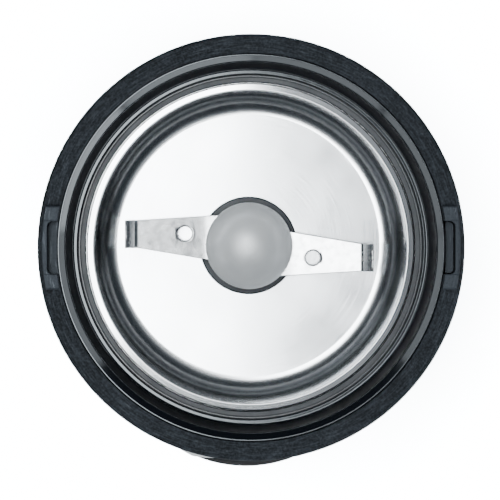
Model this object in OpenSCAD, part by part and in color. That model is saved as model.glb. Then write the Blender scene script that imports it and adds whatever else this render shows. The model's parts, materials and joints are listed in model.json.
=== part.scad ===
// Base unit of an electric spice grinder: a fixed steel bowl and its blade above an upright motor.
// Millimetres. The origin is the middle of the foot ring's underside, +Z is up, -Y is the front.

/* [Overall] */
// Height of the rim's top face above the table
body_h = 132; // [128:1:170]
// Outside diameter of the rim
rim_d = 95; // [93:0.5:118]
// Outside diameter of the base
base_d = 100.4; // [97:0.2:124]
// Height of the base cover's upper edge above the table
base_top = 16; // [15:0.5:22]
// Clear height under the base cover
foot_stand = 2; // [1:0.5:4]

/* [Shells] */
// Thickness of the steel body sleeve
sleeve_t = 0.7; // [0.5:0.1:1.2]
// Wall of the inner housing
housing_t = 2.2; // [1.8:0.1:3]
// Thickness of the housing's deck under the bowl
deck_t = 3; // [2.4:0.2:4]
// Thickness of the base cover's floor
base_floor_t = 2.5; // [2:0.1:3.2]
// Radial width of the rubber foot ring
foot_w = 4; // [3:0.5:6]

/* [Rim and lid seat] */
// Radial width of the rim's top face
rim_w = 4.35; // [4.1:0.05:5]
// Height of the rim collar
rim_h = 9.5; // [9:0.5:12]
// Radius of the rim's outer edge
rim_round = 0.9; // [0.4:0.1:1.2]
// Depth of the lid seat's ledge under the rim
seat_depth = 12.5; // [11:0.5:15]
// Width of the ledge that the lid's skirt rests on
ledge_w = 1.15; // [0.8:0.05:1.5]
// How far the seat's wall opens above its straight foot
seat_draft = 1.1; // [0.4:0.1:1.4]
// Length of the raised pad at each side of the rim
pad_l = 18.6; // [14:0.2:24]
// Height of the pads above the rim
pad_h = 0.4; // [0.2:0.1:0.8]
// Length of the pocket in each pad
pocket_l = 11.8; // [9:0.2:13]
// Radial width of the pocket
pocket_w = 2.15; // [1.8:0.05:2.4]
// Depth of the pocket under the rim
pocket_depth = 3.6; // [3:0.2:6]

/* [Bowl] */
// Inside diameter of the bowl
bowl_d = 70.4; // [56:0.4:72]
// Depth of the bowl's floor under its lip
bowl_depth = 32.5; // [26:0.5:40]
// Sheet thickness of the bowl
bowl_t = 0.8; // [0.6:0.1:1.2]
// Inside radius between the floor and the wall
bowl_round = 4.6; // [3:0.2:8]
// Width of the rolled lip
lip_w = 1.7; // [1.2:0.1:2.4]
// Radial width of the rubber ring round the lip
seal_w = 1.65; // [1.2:0.05:2]
// Diameter of the rubber shaft seal on the floor
shaft_seal_d = 22.8; // [21:0.2:28]

/* [Blade] */
// Gap between the blade's tips and the bowl's wall
blade_gap = 6.2; // [3:0.2:9]
// Height of the blade above the floor
blade_lift = 5.8; // [4.8:0.2:8]
// Thickness of the blade
blade_t = 1.3; // [1:0.1:1.8]
// Distance of an arm's leading edge from the axis line, at the hub
lead_root = 4.9; // [4:0.1:6]
// The same distance at the tip's bend
lead_tip = 0.5; // [0:0.1:3]
// Distance of an arm's trailing edge from the axis line, at the hub
trail_root = 7.5; // [6:0.1:8]
// The same distance at the tip's bend
trail_tip = 5.9; // [4:0.1:6.5]
// Upward slope of the arms outside the hub, in degrees
arm_rise = 4; // [0:1:8]
// Bend of the tips from the arms, in degrees
tip_bend = 70; // [50:5:85]
// Inside radius of the tips' bend
tip_round = 1.6; // [1:0.1:2.5]
// Straight length of the tips
tip_leg = 4.2; // [2:0.2:6]
// Thickness left at the tips' ground edges
tip_edge = 0.35; // [0.2:0.05:1]
// Diameter of the hole in each arm
arm_hole_d = 3.3; // [2:0.1:4.5]
// Diameter of the domed hub cap
hub_cap_d = 20; // [18:0.2:22]
// Height of the hub cap
hub_cap_h = 7.3; // [6:0.1:10]

/* [Motor] */
// Diameter of the motor shaft
shaft_d = 6; // [5:0.2:7.2]
// Width of the stator laminations
stator_w = 54; // [52:1:58]
// Depth of the stator laminations
stator_l = 46; // [44:1:50]
// Height of the lamination stack
stack_h = 22; // [16:1:24]
// Diameter of the armature core
armature_d = 29.5; // [26:0.5:29.5]
// Number of armature slots
slots = 12; // [10:2:14]
// Diameter of the commutator
commutator_d = 19; // [17:0.5:20]
// Diameter of the cooling fan
fan_d = 36; // [30:1:37]
// Number of fan blades
fan_blades = 10; // [7:1:14]
// Height of the rubber dampers between motor and deck
damper_h = 4; // [3:0.5:6]
// Width and height of a carbon brush
brush_w = 5.8; // [4.8:0.2:6.2]

/* [Front button] */
// Diameter of the button
button_d = 25.2; // [20:0.2:31]
// Height of the button's middle above the table
button_z = 40; // [38:1:60]
// How far the button's middle bulges
button_dome = 2.6; // [1:0.1:4]
// How far the bezel stands out of the body
bezel_proud = 2.8; // [2:0.1:6]
// Radial width of the bezel
bezel_w = 3.5; // [3:0.1:5]
// Travel of the button
button_travel = 2.2; // [1.5:0.1:2.4]

/* [Lid slider] */
// Travel of the slider that the lid pushes down
slider_travel = 3; // [2:0.1:3.4]

/* [Hidden] */
$fn = 96;
// Past every face that a cut goes through
cut = 1;

// Clearances
fit = 0.05;
run = 0.04;
slide = 0.3;
skin = 0.3;

// Rim, sleeve and housing
rim_r = rim_d / 2;
rim_in = rim_r - rim_w;
base_r = base_d / 2;
sleeve_inset = 0.6;
sleeve_foot_inset = 0.4;
sleeve_neck_r = rim_r - sleeve_inset;
sleeve_foot_r = base_r - sleeve_foot_inset;
collar_z = body_h - rim_h;
collar_lap = 1.4;
sleeve_top = collar_z + collar_lap + 1.4;
neck_z = collar_z - 3;
function sleeve_r(z) = z >= neck_z ? sleeve_neck_r
    : sleeve_foot_r + (sleeve_neck_r - sleeve_foot_r) * (z - base_top) / (neck_z - base_top);
housing_off = sleeve_t + skin;
function housing_r(z) = sleeve_r(z) - housing_off;
function housing_in(z) = housing_r(z) - housing_t;

// Lid seat and bowl
bowl_r = bowl_d / 2;
bowl_out = bowl_r + bowl_t;
lip_r = bowl_r + lip_w;
lip_top = body_h - seat_depth;
bowl_top = lip_top - 0.2;
shelf_top = lip_top - 5;
shelf_t = 2.5;
shelf_in = bowl_out + 1.2;
flange_t = 0.7;
seal_in = lip_r + 0.2;
seal_out = seal_in + seal_w;
ledge_in = seal_out + slide;
seat_r = ledge_in + ledge_w;
seat_foot_h = 3;
seat_out = rim_in - 0.1;
flange_r = ledge_in + 1.3;
floor_z = bowl_top - bowl_depth;
deck_top = floor_z - bowl_t;
deck_bottom = deck_top - deck_t;
floor_hole_r = 8;
deck_hole_r = 9;

// Blade and hub
blade_z = floor_z + blade_lift;
blade_reach = bowl_r - blade_gap;
blade_disc_r = 9;
spigot_r = 3.9;
hub_r = 6.5;
hub_z = floor_z + 1.4;
cap_z = blade_z + blade_t;
arm_rise_x = hub_cap_d / 2 + 0.2;
tip_turn = tip_bend + arm_rise;
tip_over = max(
  (tip_round + blade_t) * sin(tip_turn),
  (tip_round + tip_edge) * sin(tip_turn) + tip_leg * cos(tip_turn)
);
arm_l = (blade_reach - arm_rise_x - tip_over) / cos(arm_rise);
bend_x = arm_rise_x + arm_l;
function lead(x) = lead_root + (lead_tip - lead_root) * x / bend_x;
function trail(x) = trail_root + (trail_tip - trail_root) * x / bend_x;

// Motor, from the deck down
shaft_r = shaft_d / 2;
bush_r = shaft_r + 2;
cup_r = bush_r + 2.5;
plate_t = 2.5;
plate_top = deck_bottom - damper_h;
plate_z = plate_top - plate_t;
plate_r = 28;
fan_h = 5.8;
fan_z = plate_z - 0.7 - fan_h;
head_h = 5.6;
stack_top = fan_z - 0.6 - head_h;
stack_z = stack_top - stack_h;
commutator_h = 12;
commutator_z = stack_z - head_h - commutator_h;
commutator_r = commutator_d / 2;
lower_plate_top = commutator_z - 1;
lower_plate_z = lower_plate_top - plate_t;
bush_l = 7;
washer_t = 0.5;
upper_bush_z = plate_z + 0.3;
lower_bush_z = commutator_z - 0.8 - bush_l;
cup_floor_z = lower_bush_z - 1.6;
shaft_z = lower_bush_z + 0.3;
shaft_top = cap_z + 3.4;
bore_r = armature_d / 2 + 0.75;
bolt_x = stator_w / 2 - 4.5;
bolt_r = 1.5;
pillar_r = 3.6;
damper_at = 23;
damper_r = 4.5;
coil_in = bore_r + 0.7;
coil_w = 5;
coil_h = 5.2;
coil_from = 15.5;
window_play = 1.5;
brush_z = commutator_z + 5.6;
holder_w = brush_w + 2.2;
holder_wall = 0.9;
holder_front = commutator_r + 1.1;
holder_back = 27;
brush_back = 20;
seat_w = 10;
seat_l = 14;

// Base and its screws
spigot_t = 2;
spigot_h = 4;
spigot_out = min(housing_in(base_top), housing_in(base_top + spigot_h)) - 0.2;
base_in = spigot_out;
boss_at = 35;
boss_r = 4.2;
boss_h = 18;
head_seat = foot_stand + 7;
foot_out = base_r - 5;
foot_in = foot_out - foot_w;
foot_sink = 1.6;
cord_z = base_top - 6.8;
cord_hole_r = 3.8;
cord_r = 3;
clamp_y = base_in - 13;
clamp_w = 20;
clamp_l = 6;
clamp_screw_x = clamp_w / 2 - 3;
clamp_ear_t = 3.4;
floor_top = foot_stand + base_floor_t;

// Front button, measured along Y from the bezel's front
front_y = -(sleeve_r(button_z) + bezel_proud);
button_r = button_d / 2;
lip_bore_r = button_r + slide;
lip_t = 2.5;
bezel_bore_r = lip_bore_r + 1.1;
neck_r = bezel_bore_r + 1.4;
bezel_r = max(lip_bore_r + bezel_w, neck_r + 0.8);
wall_y = -sqrt(pow(housing_in(button_z), 2) - pow(neck_r, 2));
bezel_back = wall_y + 0.2 - front_y;
flange_at = lip_t + slide;
button_flange_t = 2.2;
cavity_at = 1.6;
dome_r = (pow(button_r, 2) + pow(button_dome, 2)) / (2 * button_dome);
bracket_t = 1.6;
bracket_w = 24;
bracket_y = max(wall_y + 1.2, -sqrt(pow(spigot_out - spigot_t - 0.5, 2) - pow(bracket_w / 2, 2)));
bracket_at = bracket_y - front_y;
stem_end = bracket_at - 0.6;
stem_r = 2.6;
plunger_l = 0.7;
switch_at = stem_end + button_travel + skin + plunger_l;
switch_size = [19.8, 10.5, 6.4];

// Lid slider and its switch, at the right-hand pocket
pocket_floor = body_h - pocket_depth;
pocket_r = 1.2;
key_in = rim_in + 0.2;
key_out = rim_in + pocket_w;
slider_gap = 0.2;
shelf_z = shelf_top - shelf_t;
slider_foot_t = 2.2;
slider_foot_top = shelf_z - slide;
slider_foot_z = slider_foot_top - slider_foot_t;
slider_arm_y = 12;
slider_arm_w = 3.2;
ledge_z = slider_foot_z - 11.5;
ledge_t = 2.2;
wall_in = min(housing_in(neck_z), housing_in(ledge_z));
slider_arm_x = wall_in - 5.1;
lid_switch_x = wall_in - 6.5;
lid_switch_size = [5.8, 12.8, 6.5];
spring_x = slider_arm_x + slider_arm_w / 2;
spring_y = 9.6;

// A ring of rectangular section from z0 to z1
module tube(r_in, r_out, z0, z1) {
  rotate_extrude() translate([r_in, z0]) square([r_out - r_in, z1 - z0]);
}

// The body's tapered shell, off inwards from the sleeve's outside, with a straight neck
module taper_shell(off, t, z0, z1) {
  rotate_extrude() polygon([
    [sleeve_r(z0) - off - t, z0],
    [sleeve_r(z0) - off, z0],
    [sleeve_neck_r - off, neck_z],
    [sleeve_neck_r - off, z1],
    [sleeve_neck_r - off - t, z1],
    [sleeve_neck_r - off - t, neck_z]
  ]);
}

// All that lies inside the body's taper, off inwards from the sleeve's outside
module taper_solid(off) {
  rotate_extrude() polygon([
    [0, base_top],
    [sleeve_r(base_top) - off, base_top],
    [sleeve_neck_r - off, neck_z],
    [sleeve_neck_r - off, body_h],
    [0, body_h]
  ]);
}

// Waste outside a quarter circle, in the corner of a profile: sx and sy point out of the corner
module corner_waste(x, y, r, sx, sy) {
  translate([x - sx * r, y - sy * r]) difference() {
    translate([sx > 0 ? 0 : -r - cut, sy > 0 ? 0 : -r - cut]) square(r + cut);
    circle(r = r);
  }
}

// Four copies on a circle, at 45 degrees to the front
module four_around(at) {
  for (a = [45:90:315]) rotate([0, 0, a]) translate([at, 0, 0]) children();
}

// Places children with their +Z pointing to the rear, from a depth behind the bezel's front
module behind_front(depth) {
  translate([0, front_y + depth, button_z]) rotate([-90, 0, 0]) children();
}

// Screw with a round head under z = 0 and a shank above it
module screw(head_r, head_t, shank_r, shank_l) {
  translate([0, 0, -head_t]) difference() {
    cylinder(r = head_r, h = head_t);
    translate([0, 0, -cut]) linear_extrude(cut + head_t / 2) square([0.8, head_r * 1.3], center = true);
    translate([0, 0, -cut]) linear_extrude(cut + head_t / 2) square([head_r * 1.3, 0.8], center = true);
  }
  cylinder(r = shank_r, h = shank_l);
}

// Coil of round wire along +Z, with its ends inside the stated length
module coil_spring(r, wire_r, length, turns) {
  sides = 6;
  steps = turns * 14;
  pitch = (length - 2 * wire_r) / steps;
  points = [
    for (i = [0:steps]) let (a = 360 * turns * i / steps)
      for (k = [0:sides - 1]) let (b = 360 * k / sides, q = r + wire_r * cos(b))
        [q * cos(a), q * sin(a), wire_r + i * pitch + wire_r * sin(b)]
  ];
  walls = [
    for (i = [0:steps - 1]) for (k = [0:sides - 1]) let (n = (k + 1) % sides)
      [i * sides + k, i * sides + n, (i + 1) * sides + n, (i + 1) * sides + k]
  ];
  first = [[for (k = [sides - 1:-1:0]) k]];
  last = [[for (k = [0:sides - 1]) steps * sides + k]];
  polyhedron(points = points, faces = concat(walls, first, last));
}

// Plan of a pocket or its key: straight on the inner side, round corners on the outer side
module key_plan(x0, x1, l, r) {
  difference() {
    translate([x0, -l / 2]) square([x1 - x0, l]);
    for (s = [-1, 1]) corner_waste(x1, s * l / 2, r, 1, s);
  }
}

module base_profile() {
  difference() {
    union() {
      translate([0, foot_stand]) square([base_r, base_floor_t]);
      translate([base_in, foot_stand]) square([base_r - base_in, base_top - foot_stand]);
      translate([spigot_out - spigot_t, base_top - 2]) square([spigot_t + cut, 2]);
      translate([spigot_out - spigot_t, base_top - 2]) square([spigot_t, 2 + spigot_h]);
    }
    corner_waste(base_r, foot_stand, 2, 1, -1);
    corner_waste(base_r, base_top, 0.6, 1, 1);
    translate([foot_in - 0.2, foot_stand - cut]) square([foot_w + 0.4, foot_sink + cut]);
  }
}

module base_cover() {
  slot_from = 12;
  slot_to = 27;
  slot_w = 2.4;
  color("#1b1c1e") difference() {
    union() {
      rotate_extrude() base_profile();
      four_around(boss_at) translate([0, 0, foot_stand]) cylinder(r = boss_r, h = base_top - foot_stand);
      tube(slot_to + 1.4, slot_to + 2.6, foot_stand + 1, foot_stand + base_floor_t + 2);
    }
    for (a = [0:20:340]) rotate([0, 0, a]) translate([slot_from, -slot_w / 2, foot_stand - cut])
      cube([slot_to - slot_from, slot_w, base_floor_t + 2 * cut]);
    four_around(boss_at) {
      translate([0, 0, foot_stand - cut]) cylinder(r = 3.4, h = head_seat - foot_stand + cut);
      cylinder(r = bolt_r + 0.2, h = base_top + cut);
    }
    for (s = [-1, 1]) translate([s * bracket_w / 3, front_y + bracket_at + 7, foot_stand + 0.8])
      cylinder(r = 1.25, h = base_floor_t);
    for (s = [-1, 1]) translate([s * clamp_screw_x, clamp_y + clamp_l / 2, foot_stand + 0.8])
      cylinder(r = 1.25, h = base_floor_t);
    translate([0, base_in - 6, cord_z]) rotate([-90, 0, 0]) cylinder(r = cord_hole_r, h = 16);
  }
}

module foot_ring() {
  color("#141414") rotate_extrude() difference() {
    translate([foot_in, 0]) square([foot_w, foot_stand + foot_sink]);
    corner_waste(foot_in + foot_w, 0, 0.7, 1, -1);
    corner_waste(foot_in, 0, 0.7, -1, -1);
  }
}

module base_screws() {
  color("#b9bcc0") four_around(boss_at) translate([0, 0, head_seat]) screw(3, 2.2, bolt_r, 16);
}

module cord_grommet() {
  flange_r_out = cord_hole_r + 1.4;
  flange_r_in = cord_hole_r + 0.8;
  color("#171717") translate([0, 0, cord_z]) rotate([-90, 0, 0]) difference() {
    union() {
      translate([0, 0, base_in - 2]) cylinder(r = cord_hole_r - 0.1, h = base_r + 1.2 - base_in + 2);
      translate([0, 0, base_r + fit]) cylinder(r1 = flange_r_out, r2 = flange_r_out - 0.6, h = 1.2);
      translate([0, 0, base_in - 2]) cylinder(r = flange_r_in, h = 1.6);
    }
    translate([0, 0, base_in - 6]) cylinder(r = cord_r, h = 14);
  }
}

module cord_clamp() {
  bridge_top = cord_z + cord_r + 1.6;
  ear_w = clamp_w / 2 + cut - clamp_screw_x + 2.6;
  color("#26272a") difference() {
    translate([-clamp_w / 2, clamp_y, floor_top]) cube([clamp_w, clamp_l, bridge_top - floor_top]);
    translate([0, clamp_y - cut, cord_z]) rotate([-90, 0, 0])
      cylinder(r = cord_r + 0.1, h = clamp_l + 2 * cut);
    for (s = [-1, 1]) {
      translate([s * clamp_screw_x, clamp_y + clamp_l / 2, floor_top - cut]) cylinder(r = 1.3, h = 20);
      translate([s * (clamp_w / 2 + cut - ear_w / 2) - ear_w / 2, clamp_y - cut, floor_top + clamp_ear_t])
        cube([ear_w, clamp_l + 2 * cut, 20]);
    }
  }
}

module clamp_screws() {
  color("#b9bcc0") for (s = [-1, 1])
    translate([s * clamp_screw_x, clamp_y + clamp_l / 2, floor_top + clamp_ear_t])
      mirror([0, 0, 1]) screw(2.4, 1.8, 1.2, clamp_ear_t + base_floor_t - 0.9);
}

module noise_capacitor() {
  case_size = [7, 15, 10];
  chamfer = 0.8;
  color("#b08a3a") translate([-boss_at - 3, case_size[1] / 2, floor_top]) rotate([90, 0, 0])
    linear_extrude(case_size[1]) polygon([
      [0, 0],
      [case_size[0], 0],
      [case_size[0], case_size[2] - chamfer],
      [case_size[0] - chamfer, case_size[2]],
      [chamfer, case_size[2]],
      [0, case_size[2] - chamfer]
    ]);
}

module housing_ribs() {
  for (a = [30:30:330]) if (a != 180) rotate([0, 0, a])
    translate([bowl_out + 2, -0.8, deck_bottom + fit]) cube([14, 1.6, shelf_z - deck_bottom]);
}

module housing_bosses() {
  four_around(boss_at) translate([0, 0, base_top]) cylinder(r = boss_r, h = boss_h);
  four_around(boss_at) translate([0, -1, base_top + spigot_h + 0.5])
    cube([20, 2, boss_h - spigot_h - 0.5]);
}

module housing() {
  color("#2a2b2e") difference() {
    union() {
      taper_shell(housing_off, housing_t, base_top, collar_z + collar_lap - 1.4);
      intersection() {
        union() {
          tube(deck_hole_r, rim_r, deck_bottom, deck_top);
          tube(shelf_in, rim_r, shelf_z, shelf_top);
          housing_ribs();
          housing_bosses();
          translate([lid_switch_x - 0.2, -7.5, ledge_z - ledge_t]) cube([20, 20.1, ledge_t]);
        }
        taper_solid(housing_off + 0.5);
      }
    }
    four_around(boss_at) translate([0, 0, base_top - cut]) cylinder(r = bolt_r + fit, h = 14);
    four_around(damper_at) translate([0, 0, deck_bottom - cut])
      cylinder(r = bolt_r + fit, h = deck_t + cut - 0.6);
    behind_front(0) cylinder(r = neck_r + 0.15, h = bezel_back + 6);
    translate([key_in - slider_gap, -pocket_l / 2 - 0.3, slider_foot_z - slider_travel - 1.5])
      cube([20, pocket_l + 0.6, body_h]);
  }
}

module body_sleeve() {
  color("#c9ccd0") difference() {
    taper_shell(0, sleeve_t, base_top, sleeve_top);
    behind_front(-cut) cylinder(r = neck_r + 0.15, h = 20);
  }
}

module collar_profile() {
  block_out = sleeve_neck_r - sleeve_t - 0.15;
  difference() {
    union() {
      translate([rim_in, collar_z]) square([block_out - rim_in, rim_h]);
      translate([rim_in, sleeve_top + 0.1]) square([rim_w, body_h - sleeve_top - 0.1]);
      translate([sleeve_neck_r + 0.1, collar_z + collar_lap]) square([sleeve_inset - 0.1, rim_h / 2]);
    }
    corner_waste(rim_r, body_h, rim_round, 1, 1);
    corner_waste(rim_in, body_h, 0.25, -1, 1);
  }
}

module rim_collar() {
  pad_in = rim_in + 0.25;
  pad_out = rim_r - rim_round;
  color("#26282b") difference() {
    union() {
      rotate_extrude() collar_profile();
      intersection() {
        tube(pad_in, pad_out, body_h - 1, body_h + pad_h);
        translate([-rim_d, -pad_l / 2, 0]) cube([2 * rim_d, pad_l, 2 * body_h]);
      }
    }
    rotate([0, 0, 180]) translate([0, 0, pocket_floor]) linear_extrude(rim_h)
      key_plan(rim_in - cut, key_out, pocket_l, pocket_r);
    translate([0, 0, collar_z - cut]) linear_extrude(rim_h + pad_h + 2 * cut)
      key_plan(rim_in - cut, key_out, pocket_l, pocket_r);
  }
}

module lid_seat_profile() {
  draft_top = body_h - 1.4;
  polygon([
    [ledge_in, shelf_top + flange_t + 0.1],
    [ledge_in, lip_top - 0.2],
    [ledge_in + 0.2, lip_top],
    [seat_r, lip_top],
    [seat_r, lip_top + seat_foot_h],
    [seat_r + seat_draft, draft_top],
    [seat_out - 0.35, body_h - 0.3],
    [seat_out, body_h - 0.3],
    [seat_out, shelf_top],
    [flange_r + 0.2, shelf_top],
    [flange_r + 0.2, shelf_top + flange_t + 0.1]
  ]);
}

module lid_seat_ring() {
  color("#0c0d0f") rotate_extrude() lid_seat_profile();
}

// Rolled lip, pressed flat on top
module lip_section() {
  lip_round = 0.4;
  inner = lip_w - 2 * lip_round;
  translate([bowl_r + lip_round, bowl_top - lip_w]) square([inner, lip_w]);
  translate([bowl_r, bowl_top - lip_w + lip_round]) square([lip_w, inner]);
  for (x = [lip_round, lip_w - lip_round], z = [lip_round, lip_w - lip_round])
    translate([bowl_r + x, bowl_top - z]) circle(r = lip_round);
}

module bowl_profile() {
  difference() {
    union() {
      translate([0, deck_top]) square([bowl_r - bowl_round, bowl_t]);
      translate([bowl_r - bowl_round, floor_z + bowl_round]) circle(r = bowl_round + bowl_t);
      translate([bowl_r, floor_z + bowl_round]) square([bowl_t, bowl_depth - bowl_round - lip_w / 2]);
      lip_section();
      translate([bowl_r, shelf_top]) square([flange_r - bowl_r, flange_t]);
    }
    translate([bowl_r - bowl_round, floor_z + bowl_round]) circle(r = bowl_round);
    translate([0, floor_z]) square([bowl_r - bowl_round, bowl_depth]);
    translate([0, floor_z + bowl_round]) square([bowl_r, bowl_depth]);
    translate([-cut, deck_top - cut]) square([floor_hole_r + cut, bowl_t + 2 * cut]);
  }
}

module grinding_bowl() {
  color("#d9dbdc") rotate_extrude() bowl_profile();
}

module bowl_seal() {
  seal_z = shelf_top + flange_t;
  seal_top = lip_top - 1.3;
  color("#3a3d40") {
    rotate_extrude() union() {
      translate([seal_in, seal_z]) square([seal_w, seal_top - seal_z]);
      translate([seal_out - 0.25, seal_top]) circle(r = 0.25);
      translate([seal_out - 0.5, seal_top - 0.5]) square([0.5, 0.5]);
    }
  }
}

module shaft_seal() {
  seal_r = shaft_seal_d / 2;
  color("#33363a") rotate_extrude() difference() {
    union() {
      translate([shaft_r + run, floor_z]) square([seal_r - shaft_r - run, 1]);
      translate([shaft_r + run, deck_top - 0.4]) square([floor_hole_r - 0.1 - shaft_r - run, bowl_t + 0.8]);
    }
    corner_waste(seal_r, floor_z + 1, 0.5, 1, 1);
  }
}

// Side view of a tip, from the end of the arm: a bend, then a leg ground thin on its outer side
module tip_section() {
  outer = tip_round + blade_t;
  translate([0, outer]) {
    difference() {
      circle(r = outer);
      circle(r = tip_round);
      translate([-2 * outer, -2 * outer]) square([2 * outer, 4 * outer]);
      rotate(tip_bend - 90) translate([-2 * outer, 0]) square([4 * outer, 2 * outer]);
    }
    rotate(tip_bend) polygon([
      [0, -outer],
      [tip_leg, -tip_round - tip_edge],
      [tip_leg, -tip_round],
      [0, -tip_round]
    ]);
  }
}

// One arm of the blade: flat root, rising arm and the bent-up tip
module blade_arm() {
  tip_w = lead_tip + trail_tip;
  linear_extrude(blade_t) polygon([
    [0, lead(0)],
    [arm_rise_x, lead(arm_rise_x)],
    [arm_rise_x, -trail(arm_rise_x)],
    [0, -trail(0)]
  ]);
  translate([arm_rise_x, 0, 0]) rotate([0, -arm_rise, 0]) {
    linear_extrude(blade_t) polygon([
      [0, lead(arm_rise_x)],
      [arm_l, lead_tip],
      [arm_l, -trail_tip],
      [0, -trail(arm_rise_x)]
    ]);
    translate([arm_l, lead_tip, 0]) rotate([90, 0, 0]) linear_extrude(tip_w) tip_section();
  }
}

module blade() {
  hole_at = [arm_rise_x + 4.6, -2.8];
  color("#cfd2d4") translate([0, 0, blade_z]) difference() {
    union() {
      cylinder(r = blade_disc_r, h = blade_t);
      for (a = [0, 180]) rotate([0, 0, a]) blade_arm();
    }
    translate([0, 0, -cut]) cylinder(r = spigot_r + fit, h = blade_t + 2 * cut);
    for (a = [0, 180]) rotate([0, 0, a]) translate([hole_at[0], hole_at[1], -cut])
      cylinder(r = arm_hole_d / 2, h = 3 * blade_t);
  }
}

module blade_hub() {
  color("#8f8461") difference() {
    union() {
      translate([0, 0, hub_z]) cylinder(r = hub_r, h = blade_z - hub_z);
      translate([0, 0, hub_z]) cylinder(r = spigot_r, h = cap_z - hub_z);
    }
    translate([0, 0, hub_z - cut]) cylinder(r = shaft_r + fit, h = blade_lift * 3);
  }
}

module hub_cap() {
  cap_r = hub_cap_d / 2;
  skirt = 2.2;
  dome_h = hub_cap_h - skirt;
  dome = (pow(cap_r, 2) + pow(dome_h, 2)) / (2 * dome_h);
  color("#c3c6c8") translate([0, 0, cap_z]) difference() {
    union() {
      cylinder(r = cap_r, h = skirt);
      intersection() {
        translate([0, 0, skirt + dome_h - dome]) sphere(r = dome);
        cylinder(r = cap_r, h = hub_cap_h + cut);
      }
    }
    translate([0, 0, -cut]) cylinder(r = shaft_r + fit, h = shaft_top - cap_z + 0.2 + cut);
  }
}

module motor_shaft() {
  color("#a9acb0") {
    translate([0, 0, shaft_z]) cylinder(r = shaft_r, h = shaft_top - shaft_z - 0.6);
    translate([0, 0, shaft_top - 0.6]) cylinder(r1 = shaft_r, r2 = shaft_r - 0.6, h = 0.6);
  }
}

module armature_core() {
  slot_at = armature_d / 2 - 3.5;
  color("#6c6f73") translate([0, 0, stack_z]) linear_extrude(stack_h) difference() {
    circle(r = armature_d / 2);
    circle(r = shaft_r + fit);
    for (i = [0:slots - 1]) rotate(360 * i / slots) {
      translate([slot_at, 0]) circle(r = 1.9);
      translate([slot_at, -0.6]) square([6, 1.2]);
    }
  }
}

module armature_windings() {
  slot_at = armature_d / 2 - 3.5;
  head_r = armature_d / 2 - 1.1;
  color("#9a5a2c") {
    for (i = [0:slots - 1]) rotate([0, 0, 360 * i / slots]) translate([slot_at, 0, stack_z - 0.5])
      cylinder(r = 1.7, h = stack_h + 1, $fn = 24);
    for (s = [-1, 1]) translate([0, 0, s > 0 ? stack_top : stack_z]) mirror([0, 0, s > 0 ? 0 : 1])
      rotate_extrude() polygon([
        [shaft_r + 1, 0],
        [head_r, 0],
        [head_r, 2.6],
        [head_r - 2.2, head_h - 0.2],
        [shaft_r + 2.6, head_h - 0.2],
        [shaft_r + 1, 2]
      ]);
  }
}

module commutator() {
  color("#b0703c") difference() {
    union() {
      translate([0, 0, commutator_z]) cylinder(r = commutator_r, h = commutator_h);
      translate([0, 0, commutator_z + commutator_h - 1.4]) cylinder(r = commutator_r + 1.1, h = 1.4);
    }
    translate([0, 0, commutator_z - cut]) cylinder(r = shaft_r + fit, h = commutator_h + 2 * cut);
    for (i = [0:slots - 1]) rotate([0, 0, 360 * (i + 0.5) / slots])
      translate([commutator_r - 0.7, -0.25, commutator_z - cut]) cube([3, 0.5, commutator_h + 2 * cut]);
  }
}

module cooling_fan() {
  color("#4a4d50") translate([0, 0, fan_z]) difference() {
    union() {
      cylinder(r = fan_d / 2, h = 1.2);
      cylinder(r = shaft_r + 2.2, h = fan_h);
      for (i = [0:fan_blades - 1]) rotate([0, 0, 360 * i / fan_blades])
        translate([fan_d / 2 - 10, -0.6, 0.5]) cube([9.6, 1.2, fan_h - 1.1]);
    }
    translate([0, 0, -cut]) cylinder(r = shaft_r + fit, h = fan_h + 2 * cut);
  }
}

module thrust_washers() {
  color("#d8d8d8") {
    tube(shaft_r + fit, bush_r - 0.15, commutator_z - 0.15 - washer_t, commutator_z - 0.15);
    tube(shaft_r + fit, bush_r - 0.15, fan_z + fan_h + 0.15, fan_z + fan_h + 0.15 + washer_t);
  }
}

module stator_core() {
  window_from = coil_from - window_play;
  window_turn = 19 + 2 * window_play;
  color("#5a5d61") difference() {
    translate([0, 0, stack_z]) linear_extrude(stack_h) difference() {
      intersection() {
        square([stator_w, stator_l], center = true);
        circle(r = stator_w / 2 + 2);
      }
      circle(r = bore_r);
      for (s = [-1, 1]) translate([s * bolt_x, 0]) circle(r = bolt_r + 0.15);
    }
    for (side = [0, 180], at = [window_from, 180 - window_from - window_turn])
      rotate([0, 0, side + at]) translate([0, 0, stack_z - cut]) rotate_extrude(angle = window_turn)
        translate([bore_r - cut, 0]) square([coil_w + 2.1, stack_h + 2 * cut]);
  }
}

module field_coils() {
  leg = 19;
  whole = 180 - 2 * coil_from;
  color("#8c4f26") for (side = [0, 180]) rotate([0, 0, side + coil_from]) difference() {
    translate([0, 0, stack_z - coil_h]) rotate_extrude(angle = whole)
      translate([coil_in, 0]) square([coil_w, stack_h + 2 * coil_h]);
    rotate([0, 0, leg]) translate([0, 0, stack_z]) rotate_extrude(angle = whole - 2 * leg)
      translate([coil_in - cut, 0]) square([coil_w + 2 * cut, stack_h]);
  }
}

module upper_motor_bracket() {
  color("#9da0a3") difference() {
    union() {
      translate([0, 0, plate_z]) cylinder(r = plate_r, h = plate_t);
      translate([0, 0, plate_z]) cylinder(r = cup_r, h = upper_bush_z + bush_l + 0.8 - plate_z);
      for (s = [-1, 1]) translate([s * bolt_x, 0, stack_top])
        cylinder(r = pillar_r, h = plate_z - stack_top + 1);
    }
    translate([0, 0, plate_z - cut]) cylinder(r = bush_r + fit, h = upper_bush_z + bush_l - plate_z + cut);
    cylinder(r = shaft_r + 0.6, h = body_h);
    for (s = [-1, 1]) translate([s * bolt_x, 0, stack_top - cut]) cylinder(r = bolt_r + 0.15, h = body_h);
    four_around(damper_at) translate([0, 0, plate_z - cut])
      cylinder(r = damper_r - 1.2, h = plate_t + 2 * cut);
  }
}

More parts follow.
